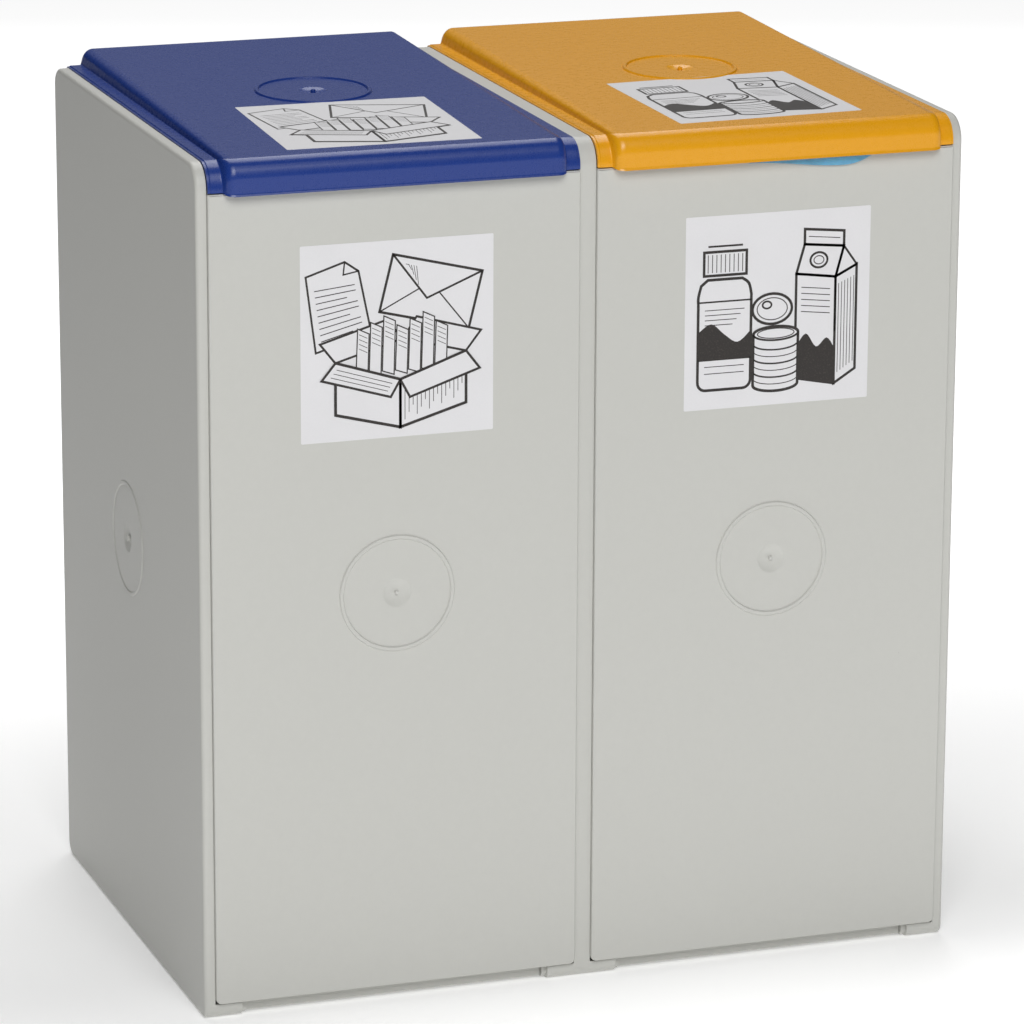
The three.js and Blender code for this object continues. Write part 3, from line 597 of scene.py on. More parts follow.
class Board:
    """The node board of one material."""

    def __init__(self, name: str) -> None:
        """Starts a material with an empty board.

        Args:
            name: The material's name.
        """
        self.material = bpy.data.materials.new(name)
        self.material.use_nodes = True
        self.material.node_tree.nodes.clear()
        self.place = self.add("ShaderNodeTexCoord", output="Object")

    def add(
        self,
        kind: str,
        settings: dict[str, object] | None = None,
        inputs: dict[str | int, object] | None = None,
        output: str | int = 0,
    ) -> Flow:
        """Adds a node.

        Args:
            kind: The node's type.
            settings: Its properties, set first; "stops" fills a ramp with places and greys.
            inputs: Values or links of its sockets, by name or number.
            output: The output to go on from.

        Returns:
            That output.
        """
        node = self.material.node_tree.nodes.new(kind)
        for key, value in (settings or {}).items():
            if key == "stops":
                self._fill_ramp(node, value)
            else:
                setattr(node, key, value)
        for key, value in (inputs or {}).items():
            if isinstance(value, Flow):
                self.material.node_tree.links.new(value.socket, node.inputs[key])
            else:
                node.inputs[key].default_value = value
        return Flow(self, node.outputs[output]) if node.outputs else Flow(self, None)

    @staticmethod
    def _fill_ramp(node: bpy.types.Node, stops: Sequence[Pair]) -> None:
        """Sets a ramp's stops.

        Args:
            node: The ramp's node.
            stops: Places and greys.
        """
        ramp = node.color_ramp
        while len(ramp.elements) < len(stops):
            ramp.elements.new(0.5)
        for element, (place, grey) in zip(ramp.elements, stops):
            element.position = place
            element.color = (grey, grey, grey, 1)

    def maths(self, operation: str, first: Flow | float, second: Flow | float) -> Flow:
        """One Math node."""
        return self.add("ShaderNodeMath", {"operation": operation}, {0: first, 1: second})

    def clamp(self, value: Flow, low: float, high: float) -> Flow:
        """A value brought from low..high to 0..1, smoothly."""
        span = {"Value": value, "From Min": low, "From Max": high}
        return self.add("ShaderNodeMapRange", {"interpolation_type": "SMOOTHSTEP"}, span)

    def blend(self, share: Flow, first: Flow | Triple, second: Flow | Triple) -> Flow:
        """A colour between two."""
        ends = [end if isinstance(end, Flow) else (*end, 1) for end in (first, second)]
        return self.add("ShaderNodeMix", {"data_type": "RGBA"}, {0: share, 6: ends[0], 7: ends[1]}, 2)

    def clouds(self, size: float, detail: float = 2, stretch: Triple = (1, 1, 1)) -> Flow:
        """Noise from 0 to 1 whose spots are about a size in metres, pulled out along the axes."""
        where = self.add("ShaderNodeMapping", None, {"Vector": self.place, "Scale": stretch})
        return self.add("ShaderNodeTexNoise", None, {"Vector": where, "Scale": 1 / size, "Detail": detail})

    def specks(self, spacing: float, radius: float, share: float) -> Flow:
        """1 in a few small round specks, 0 elsewhere.

        Args:
            spacing: Distance between a speck's possible places, in metres.
            radius: The speck's radius, in metres.
            share: How many of the places have one.

        Returns:
            The mask.
        """
        cell = {"Vector": self.place, "Scale": 1 / spacing}
        distance = self.add("ShaderNodeTexVoronoi", None, cell, "Distance")
        chance = self.add("ShaderNodeTexVoronoi", None, cell, "Color")
        red = self.add("ShaderNodeSeparateColor", None, {"Color": chance})
        near = 1 - self.clamp(distance, radius / spacing * 0.6, radius / spacing)
        return near * self.maths("LESS_THAN", red, share)

    def edges(self, radius: float) -> Flow:
        """A mask of a piece's edges.

        Args:
            radius: How far from an edge it reaches, in metres.

        Returns:
            0 on flat faces, rising to 1 on edges.
        """
        normal = self.add("ShaderNodeNewGeometry", output="Normal")
        rounded = self.add("ShaderNodeBevel", {"samples": 6}, {"Radius": radius})
        ways = {0: normal, 1: rounded}
        along = self.add("ShaderNodeVectorMath", {"operation": "DOT_PRODUCT"}, ways, "Value")
        flat, sharp = 0.01, 0.16
        return self.clamp(1 - along, flat, sharp)

    def bump(self, height: Flow, depth: float, strength: float) -> Flow:
        """A bumped normal from a height between 0 and 1."""
        return self.add("ShaderNodeBump", None, {"Height": height, "Distance": depth, "Strength": strength})

    def surface(self, inputs: dict[str, object]) -> Material:
        """Ends the board in a shader.

        Args:
            inputs: The shader's sockets by name.

        Returns:
            The material.
        """
        shader = self.add("ShaderNodeBsdfPrincipled", None, inputs)
        self.add("ShaderNodeOutputMaterial", None, {"Surface": shader})
        return self.material


def shade(colour: Triple, share: float) -> Triple:
    """A colour made darker or lighter by a share."""
    return tuple(min(1, channel * share) for channel in colour)


@dataclass(frozen=True)
class MouldedPlastic:
    """Injection-moulded plastic with a fine spark-eroded grain; its sizes are metres."""

    name: str
    colour: Triple
    roughness: float = 0.43
    broad_size: float = 0.35
    middle_size: float = 0.006
    grain_size: float = 0.0009
    grain_depth: float = 0.00004
    mottle: float = 0.008
    edge_radius: float = 0.0016
    rubbed: float = 0.18
    speck_spacing: float = 0.06
    speck_radius: float = 0.0007
    speck_share: float = 0.35

    def material(self) -> Material:
        """Builds the finish.

        Returns:
            The material.
        """
        board = Board(self.name)
        broad = board.clouds(self.broad_size, 1)
        middle = board.clouds(self.middle_size, 3)
        fine = board.clouds(self.grain_size, 2)
        pits = board.clouds(self.grain_size * 3.1, 2)
        edge = board.edges(self.edge_radius)
        specks = board.specks(self.speck_spacing, self.speck_radius, self.speck_share)
        dark = shade(self.colour, 1 - self.mottle * 2)
        light = shade(self.colour, 1 + self.mottle)
        # edges lightened towards white: partly rubbed wear, partly a painted highlight along every edge
        worn_and_highlit = tuple(min(1, c + (1 - c) * self.rubbed * 0.5) for c in self.colour)
        cloudy = board.clamp(broad * 0.45 + middle * 0.35 + pits * 0.2, 0.32, 0.68)
        base = board.blend(cloudy, dark, light)
        base = board.blend(edge * (0.55 + 0.45 * middle), base, worn_and_highlit)
        base = board.blend(specks * 0.35, base, shade(self.colour, 0.55))
        rough = (fine - 0.5) * 0.1 + (middle - 0.5) * 0.08 + self.roughness
        rough = rough - edge * 0.06
        height = fine * 0.6 + pits * 0.4
        sockets = {
            "Base Color": base,
            "Roughness": rough,
            "Normal": board.bump(height, self.grain_depth, 1),
            "Specular IOR Level": 0.5,
        }
        return board.surface(sockets)


@dataclass(frozen=True)
class PlatedSteel:
    """Zinc-plated steel, drawn along x, with a faint yellow bloom."""

    name: str = "zinc_plated_steel"
    colour: Triple = (0.6, 0.61, 0.62)

    def material(self) -> Material:
        """Builds the finish.

        Returns:
            The material.
        """
        board = Board(self.name)
        streaks = board.clouds(0.0006, 3, (0.03, 1, 1))
        bloom = board.clouds(0.02, 2)
        edge = board.edges(0.0006)
        base = board.blend(board.clamp(bloom, 0.35, 0.7), self.colour, (0.66, 0.62, 0.5))
        base = board.blend(edge * 0.6, base, (0.8, 0.8, 0.8))
        sockets = {
            "Base Color": base,
            "Metallic": 1.0,
            "Roughness": (streaks - 0.5) * 0.16 + 0.33,
            "Normal": board.bump(streaks, 0.00002, 0.8),
        }
        return board.surface(sockets)


@dataclass(frozen=True)
class ThinFilm:
    """Light blue bag film with soft creases."""

    name: str = "bag_film"
    colour: Triple = (0.13, 0.42, 0.66)

    def material(self) -> Material:
        """Builds the finish.

        Returns:
            The material.
        """
        board = Board(self.name)
        folds = board.clouds(0.03, 4, (1, 1, 0.4))
        fine = board.clouds(0.006, 4)
        # painted shade of the folds: the film darker in their hollows and lighter on their crests, following
        # the bump
        fold_shade = board.clamp(folds * 0.6 + fine * 0.4, 0.3, 0.7)
        base = board.blend(fold_shade, shade(self.colour, 0.78), shade(self.colour, 1.15))
        crease = board.add(
            "ShaderNodeTexNoise",
            {"noise_type": "RIDGED_MULTIFRACTAL"},
            {"Vector": board.place, "Scale": 38.0, "Detail": 3.0},
        )
        height = folds * 0.5 + board.clamp(crease, 0.6, 1.6) * 0.35 + fine * 0.15
        sockets = {
            "Base Color": base,
            "Roughness": 0.24 + 0.16 * fine,
            "Normal": board.bump(height, 0.0012, 0.8),
            "Subsurface Weight": 0.15,
            "Subsurface Scale": 0.002,
            "Specular IOR Level": 0.55,
        }
        return board.surface(sockets)


@dataclass(frozen=True)
class LabelPaper:
    """White coated label stock."""

    name: str = "label_paper"
    colour: Triple = (0.76, 0.755, 0.77)

    def material(self) -> Material:
        """Builds the finish.

        Returns:
            The material.
        """
        board = Board(self.name)
        fibres = board.clouds(0.0012, 3)
        broad = board.clouds(0.05, 2)
        tone = board.clamp(fibres * 0.4 + broad * 0.6, 0.3, 0.7)
        sockets = {
            "Base Color": board.blend(tone, shade(self.colour, 0.965), self.colour),
            "Roughness": 0.42 + 0.1 * fibres,
            "Normal": board.bump(fibres, 0.00002, 0.7),
            "Coat Weight": 0.12,
            "Coat Roughness": 0.25,
        }
        return board.surface(sockets)


@dataclass(frozen=True)
class LabelInk:
    """Screen-printed ink, not quite black and not quite even."""

    name: str = "label_ink"
    colour: Triple = (0.02, 0.016, 0.014)

    def material(self) -> Material:
        """Builds the finish.

        Returns:
            The material.
        """
        board = Board(self.name)
        cover = board.clouds(0.0011, 3)
        thin = board.clamp(cover, 0.5, 0.8)
        sockets = {
            "Base Color": board.blend(thin, self.colour, shade(self.colour, 2.6)),
            "Roughness": 0.4 + 0.15 * cover,
            "Normal": board.bump(cover, 0.00002, 0.6),
        }
        return board.surface(sockets)


@dataclass
class Finishes:
    """Every finish of the bin, built once."""

    grey: Material = field(init=False)
    blue: Material = field(init=False)
    yellow: Material = field(init=False)
    dark: Material = field(init=False)
    steel: Material = field(init=False)
    film: Material = field(init=False)
    paper: Material = field(init=False)
    ink: Material = field(init=False)

    def __post_init__(self) -> None:
        """Builds the materials."""
        glossy = {"roughness": 0.28, "grain_size": 0.0008, "grain_depth": 0.00002, "rubbed": 0.02}
        blue, amber = (0.014, 0.043, 0.238), (0.81, 0.365, 0.007)
        self.grey = MouldedPlastic("light_grey_plastic", (0.57, 0.57, 0.536)).material()
        self.blue = MouldedPlastic("blue_plastic", blue, **glossy).material()
        self.yellow = MouldedPlastic("amber_plastic", amber, mottle=0.006, **glossy).material()
        self.dark = MouldedPlastic("dark_grey_plastic", (0.05, 0.055, 0.06), 0.55).material()
        self.steel = PlatedSteel().material()
        self.film = ThinFilm().material()
        self.paper = LabelPaper().material()
        self.ink = LabelInk().material()


# ---- mouldings


@dataclass
class Medallion:
    """Low raised ring round a mould gate, with a dish and a gate nub in its middle."""

    radius: float = 40.7
    ring_width: float = 3.4
    ring_height: float = 0.6
    shoulder: float = 0.8
    root: float = 0.4
    moat_width: float = 0.9
    moat_depth: float = 0.22
    dish_radius: float = 11
    dish_depth: float = 2
    dish_power: float = 2.4
    nub_radius: float = 1.4
    nub_height: float = -0.2
    ring_segments: int = 144
    dish_segments: int = 64
    nub_segments: int = 24

    def press(self, plate: Object, centre: Triple, outward: Triple) -> Object:
        """Raises the ring on a plate and sinks the dish in it.

        Args:
            plate: The moulding.
            centre: The medallion's middle on the plate's face.
            outward: The face's normal.

        Returns:
            The plate.
        """
        inner = self.radius - self.ring_width / 2
        outer = self.radius + self.ring_width / 2
        far, close = outer + self.moat_width, inner - self.moat_width
        slope, deep = self.moat_width * 0.6, self.moat_depth
        groove = [(close, 0), (close + slope, -deep), (far - slope, -deep), (far, 0), (far, 1), (close, 1)]
        moat = BENCH.turned("moat", groove, centre, outward, self.ring_segments, closed=True)
        root = deep + self.root
        flank, curl = self.shoulder * 0.7, self.ring_height * 0.72
        band = [
            (inner, -root),
            (outer, -root),
            (outer, -deep / 2),
            (outer - flank, curl),
            (outer - self.shoulder, self.ring_height),
            (inner + self.shoulder, self.ring_height),
            (inner + flank, curl),
            (inner, -deep / 2),
        ]
        ring = BENCH.turned("ring", band, centre, outward, self.ring_segments, closed=True)
        shares = [step / 8 for step in range(9)]
        bowl = [(self.dish_radius * s, self.dish_depth * (s**self.dish_power - 1)) for s in shares]
        dish = BENCH.turned(
            "dish", [*bowl, (self.dish_radius, 1), (0, 1)], centre, outward, self.dish_segments
        )
        floor = -self.dish_depth - self.root
        width, height = self.nub_radius, self.nub_height
        stem = [
            (0, floor),
            (width, floor),
            (width, height - 0.5),
            (width * 0.8, height - 0.08),
            (width * 0.5, height),
            (0, height - 0.2),
        ]
        nub = BENCH.turned("nub", stem, centre, outward, self.nub_segments)
        BENCH.cut(plate, moat)
        BENCH.fuse(plate, ring)
        BENCH.cut(plate, dish)
        return BENCH.fuse(plate, nub)


@dataclass
class Wall:
    """What the side walls and the partition share: pocketed plate, bosses, ledge and foot."""

    finishes: Finishes
    depth: float = 385
    height: float = 616
    front_bottom_radius: float = 7
    back_bottom_radius: float = 12
    back_top_radius: float = 14
    front_top_radius: float = 18
    rim: float = 10
    rib: float = 3
    columns: int = 3
    rows: int = 4
    pocket_bottom: float = 15.6
    pocket_top: float = 606
    skin: float = 3
    foot_reach: float = 20
    foot_height: float = 10.6
    foot_wall: float = 3
    foot_back: float = 373
    tab_reach: float = 3.5
    ledge_top: float = 600
    ledge_reach: float = 6
    ledge_span: Pair = (24, 324)
    pocket_corner: float = 1.6
    rod_place: Pair = (369, 604)
    rod_boss: float = 7
    rod_socket: Pair = (2.85, 4.4)
    rail_screw_place: Pair = (360.9, 581)
    rail_screw_boss: float = 5.5
    rail_screw_hole: Pair = (1.8, 4.9)
    floor_screw_ys: Pair = (60, 325)
    floor_screw_head: Pair = (3.7, 1.7)
    floor_screw_hole: Pair = (1.8, 4)

    def plate(self, name: str, low_x: float, high_x: float, low_edge: float, high_edge: float) -> Object:
        """A plate with the wall's outline and rounded edges.

        Args:
            name: The plate's name.
            low_x: Its face towards -x.
            high_x: Its face towards +x.
            low_edge: Edge radius of the first face.
            high_edge: Edge radius of the second face.

        Returns:
            The plate.
        """
        plate = BENCH.block(name, (low_x, 0, 0), (high_x, self.depth, self.height))
        corners = [
            ((0, 0), self.front_bottom_radius),
            ((self.depth, 0), self.back_bottom_radius),
            ((self.depth, self.height), self.back_top_radius),
            ((0, self.height), self.front_top_radius),
        ]
        for (y, z), radius in corners:
            BENCH.bevel(
                plate,
                lambda a, b, y=y, z=z: all(abs(p.y - y) < NEAR and abs(p.z - z) < NEAR for p in (a, b)),
                radius,
                14,
            )
        for x, radius in ((low_x, low_edge), (high_x, high_edge)):
            BENCH.bevel(plate, lambda a, b, x=x: abs(a.x - x) < NEAR and abs(b.x - x) < NEAR, radius, 5)
        return plate

    def pockets(self, face: float, inward: int, depth: float) -> list[Object]:
        """Cutting blocks for the pockets between the ribs.

        Args:
            face: The pocketed face's x.
            inward: 1 or -1, where that face looks along x.
            depth: The pockets' depth.

        Returns:
            One block per pocket, with rounded upright edges.
        """
        width = (self.depth - 2 * self.rim - (self.columns - 1) * self.rib) / self.columns
        rise = (self.pocket_top - self.pocket_bottom - (self.rows - 1) * self.rib) / self.rows
        first = BENCH.block(
            "pocket",
            (face - inward * depth, self.rim, self.pocket_bottom),
            (face + inward, self.rim + width, self.pocket_bottom + rise),
        )
        BENCH.bevel(first, lambda a, b: abs(a.x - b.x) > depth, self.pocket_corner, 3)
        blocks = [first]
        for column in range(self.columns):
            for row in range(self.rows):
                if column or row:
                    shift = (0, column * (width + self.rib), row * (rise + self.rib))
                    blocks.append(BENCH.copy(first, "pocket", shift))
        return blocks

    def fittings(self, face: float, inward: int, depth: float) -> list[Object]:
        """Bosses, ledge and foot on one face.

        Args:
            face: The face's x.
            inward: 1 or -1, where that face looks along x.
            depth: The pockets' depth.

        Returns:
            The pieces to fuse to the wall.
        """
        bosses = []
        places = ((self.rod_place, self.rod_boss), (self.rail_screw_place, self.rail_screw_boss))
        for (y, z), radius in places:
            foot = -depth - self.skin / 2
            bosses.append(BENCH.pin(radius, foot, 0, (face, y, z), (inward, 0, 0), 40))
        root = face - inward * (depth + 1)
        edge = face + inward * self.ledge_reach
        shelf = [
            (root, self.ledge_top),
            (edge, self.ledge_top),
            (edge, self.ledge_top - 3),
            (root, self.ledge_top - 9),
        ]
        ledge = BENCH.prism("ledge", Axis.Y, shelf, *self.ledge_span, (0, 0.6, 0.8, 0), 3)
        return [*bosses, ledge, self._foot(face, inward), self._tab(face, inward)]

    def _foot(self, face: float, inward: int) -> Object:
        """The foot: a flange whose front edge rolls up into a short front wall.

        Args:
            face: The face's x.
            inward: 1 or -1, where that face looks along x.

        Returns:
            The foot.
        """
        outline = [
            (0, self.foot_height),
            (0, 0),
            (self.foot_back, 0),
            (self.foot_back, self.foot_wall),
            (self.foot_wall, self.foot_wall),
            (self.foot_wall, self.foot_height),
        ]
        inner = self.front_bottom_radius - self.foot_wall
        foot = BENCH.prism(
            "foot",
            Axis.X,
            outline,
            face - inward,
            face + inward * self.foot_reach,
            (0, self.front_bottom_radius, 0, 0, inner, 0),
            10,
        )
        return BENCH.soften(foot, 0.5, 2, 50)

    def _tab(self, face: float, inward: int) -> Object:
        """The thinner web past the foot's end, back from its face.

        Args:
            face: The face's x.
            inward: 1 or -1, where that face looks along x.

        Returns:
            The web.
        """
        roll = self.front_bottom_radius / 2
        outline = [(3, self.foot_height), (3, 1 + roll), (3 + roll, 1), (10, 1), (10, self.foot_height)]
        start = face + inward * (self.foot_reach - 1)
        end = face + inward * (self.foot_reach + self.tab_reach)
        return BENCH.soften(BENCH.prism("tab", Axis.X, outline, start, end, (0, 2, 2, 0, 0), 4), 0.3, 2, 50)

    def holes(self, face: float, inward: int) -> list[Object]:
        """Cutting pins for the rod socket and the screws of one face.

        Args:
            face: The face's x.
            inward: 1 or -1, where that face looks along x.

        Returns:
            The pins.
        """
        sockets = []
        places = ((self.rod_place, self.rod_socket), (self.rail_screw_place, self.rail_screw_hole))
        for (y, z), (radius, reach) in places:
            sockets.append(BENCH.pin(radius, -reach, 1, (face, y, z), (inward, 0, 0)))
        (head, sink), (hole, top) = self.floor_screw_head, self.floor_screw_hole
        for y in self.floor_screw_ys:
            x = face + inward * self.foot_reach / 2
            profile = [(0, -1), (head, -1), (head, sink), (hole, sink), (hole, top), (0, top)]
            sockets.append(BENCH.turned("screw_hole", profile, (x, y, 0), (0, 0, 1), 32))
        return sockets


@dataclass
class SideWalls(Wall):
    """The two outer walls."""

    inner_x: float = 275.2
    outer_x: float = 283.2
    outer_edge: float = 3
    inner_edge: float = 0.35
    medallion_height: float = 303

    def build(self) -> None:
        """Models the left wall, mirrors it and dresses both."""
        depth = self.outer_x - self.inner_x - self.skin
        wall = self.plate(
            "side_wall_left_finished", -self.outer_x, -self.inner_x, self.outer_edge, self.inner_edge
        )
        BENCH.cut(wall, *self.pockets(-self.inner_x, 1, depth))
        BENCH.fuse(wall, *self.fittings(-self.inner_x, 1, depth))
        BENCH.cut(wall, *self.holes(-self.inner_x, 1))
        middle = (-self.outer_x, self.depth / 2, self.medallion_height)
        Medallion(nub_radius=2.3, nub_height=0.55).press(wall, middle, (-1, 0, 0))
        twin = BENCH.mirrored(wall, "side_wall_right_finished")
        for side, obj in ((Side.LEFT, wall), (Side.RIGHT, twin)):
            deliver(obj, self.finishes.grey, "root", f"side_wall_{side.word}", "body_grey")


@dataclass
class Partition(Wall):
    """The middle wall, pocketed on both faces, with a foot to either side."""

    half: float = 6.2
    edge: float = 0.35

    def build(self) -> None:
        """Models and dresses the partition."""
        depth = self.half - self.skin / 2
        wall = self.plate("centre_partition_finished", -self.half, self.half, self.edge, self.edge)
        for side in (-1, 1):
            BENCH.cut(wall, *self.pockets(side * self.half, side, depth))
        for side in (-1, 1):
            BENCH.fuse(wall, *self.fittings(side * self.half, side, depth))
        for side in (-1, 1):
            BENCH.cut(wall, *self.holes(side * self.half, side))
        deliver(wall, self.finishes.grey, "root", "centre_partition", "body_grey")


@dataclass
class Panels:
    """Front and back panels: trays with returned edges, ribs and snap hooks."""

    finishes: Finishes
    half: float = 134.4
    bottom: float = 11.5
    front_top: float = 596
    back_top: float = 587
    front_face: float = -3
    back_face: float = 383
    depth: float = 385
    bottom_radius: float = 4
    top_radius: float = 0.8
    edge_radius: float = 1.1
    return_depth: float = 13
    return_wall: float = 2.5
    skin: float = 3
    rib: float = 3
    rib_depth: float = 7
    rib_count: int = 3
    side_root: float = 1.25
    hook_heights: tuple[float, ...] = (88.275, 236.625, 384.975, 533.325)
    hook_half: float = 7
    hook_place: float = 10.4
    hook_depth: float = 2.2
    hook_reach: float = 2.3
    medallion_height: float = 303

    def _tray(self, name: str, outer: float, inward: int, top: float) -> Object:
        """One panel in the middle of x.

        Args:
            name: Its name.
            outer: The y of its outer face.
            inward: 1 where its hollow looks towards the back, -1 towards the front.
            top: Its top edge's height.

        Returns:
            The panel.
        """
        wall_face = 0 if inward > 0 else self.depth
        back = wall_face + inward * self.return_depth
        panel = BENCH.block(name, (-self.half, outer, self.bottom), (self.half, back, top))
        for z, radius in ((self.bottom, self.bottom_radius), (top, self.top_radius)):
            BENCH.bevel(
                panel,
                lambda a, b, z=z: abs(a.x - b.x) < NEAR and abs(a.z - z) < NEAR and abs(b.z - z) < NEAR,
                radius,
                8,
            )
        BENCH.bevel(
            panel, lambda a, b: abs(a.y - outer) < NEAR and abs(b.y - outer) < NEAR, self.edge_radius, 5
        )
        floor = abs(back - outer) - self.skin
        BENCH.hollow(panel, Axis.Y, inward, self.return_wall, floor)
        inner = outer + inward * self.skin
        for index in range(self.rib_count):
            z = self.bottom + (top - self.bottom) * (index + 1) / (self.rib_count + 1)
            rib = BENCH.block(
                "rib",
                (-self.half + self.side_root, inner - inward, z - self.rib / 2),
                (self.half - self.side_root, inner + inward * self.rib_depth, z + self.rib / 2),
            )
            BENCH.fuse(panel, rib)
        hooks = []
        start = wall_face + inward * self.hook_place
        for side in (-1, 1):
            for z in self.hook_heights:
                hook = BENCH.block(
                    "hook",
                    (side * (self.half - self.side_root), start, z - self.hook_half),
                    (
                        side * (self.half + self.hook_reach),
                        start + inward * self.hook_depth,
                        z + self.hook_half,
                    ),
                )
                hooks.append(BENCH.soften(hook, 0.4))
        return BENCH.fuse(panel, BENCH.join(hooks))

    def build(self) -> None:
        """Models a front and a back panel for each compartment and dresses them."""
        front = self._tray("front_panel_left_finished", self.front_face, 1, self.front_top)
        Medallion(ring_height=0.9).press(front, (0, self.front_face, self.medallion_height), (0, -1, 0))
        back = self._tray("back_panel_left_finished", self.back_face, -1, self.back_top)
        for word, first in (("front_panel", front), ("back_panel", back)):
            for side, obj in twins(first, word):
                deliver(obj, self.finishes.grey, "root", f"{word}_{side.word}", "panel_grey")


@dataclass
class FloorTrays:
    """The trays under the compartments, whose front rails show between the feet."""

    finishes: Finishes
    half: float = 134
    front: float = 13.6
    back: float = 371.4
    top: float = 15
    plate: float = 3
    skirt_bottom: float = 3.3
    wall: float = 2.5
    apron_half: float = 110.4
    apron_face: float = 6
    apron_bottom: float = 1.8
    apron_top: float = 10.5
    apron_chamfer: float = 1.5
    rib_xs: Triple = (-67, 0, 67)
    rib_half: float = 1.5
    rib_bottom: float = 5
    screw_x: float = 124.5
    screw_ys: Pair = (60, 325)
    boss_radius: float = 5.5
    hole_radius: float = 1.8
    hole_top: float = 13

    def build(self) -> None:
        """Models one tray, copies it and dresses both."""
        tray = BENCH.block(
            "floor_tray_left_finished",
            (-self.half, self.front, self.skirt_bottom),
            (self.half, self.back, self.top),
        )
        BENCH.bevel(tray, lambda a, b: a.z > self.top - NEAR and b.z > self.top - NEAR, 0.6, 3)
        BENCH.hollow(tray, Axis.Z, -1, self.wall, self.top - self.plate - self.skirt_bottom)
        outline = [
            (self.apron_face, self.apron_bottom),
            (self.front + 1, self.apron_bottom),
            (self.front + 1, self.apron_top),
            (self.apron_face, self.apron_top),
        ]
        radii = (self.apron_chamfer, 0, 0, 0.8)
        BENCH.fuse(tray, BENCH.prism("rail", Axis.X, outline, -self.apron_half, self.apron_half, radii, 4))
        for x in self.rib_xs:
            low = (x - self.rib_half, self.front + 1, self.rib_bottom)
            high = (x + self.rib_half, self.back - 1, self.top - 1)
            BENCH.fuse(tray, BENCH.block("rib", low, high))
        places = [(side * self.screw_x, y, 0) for side in (-1, 1) for y in self.screw_ys]
        for place in places:
            BENCH.fuse(tray, BENCH.pin(self.boss_radius, self.skirt_bottom, self.top - 1, place, (0, 0, 1)))
        holes = [BENCH.pin(self.hole_radius, 0, self.hole_top, place, (0, 0, 1), 24) for place in places]
        BENCH.cut(tray, *holes)
        for side, obj in twins(tray, "floor_tray"):
            deliver(obj, self.finishes.grey, "root", f"floor_tray_{side.word}", "body_grey")


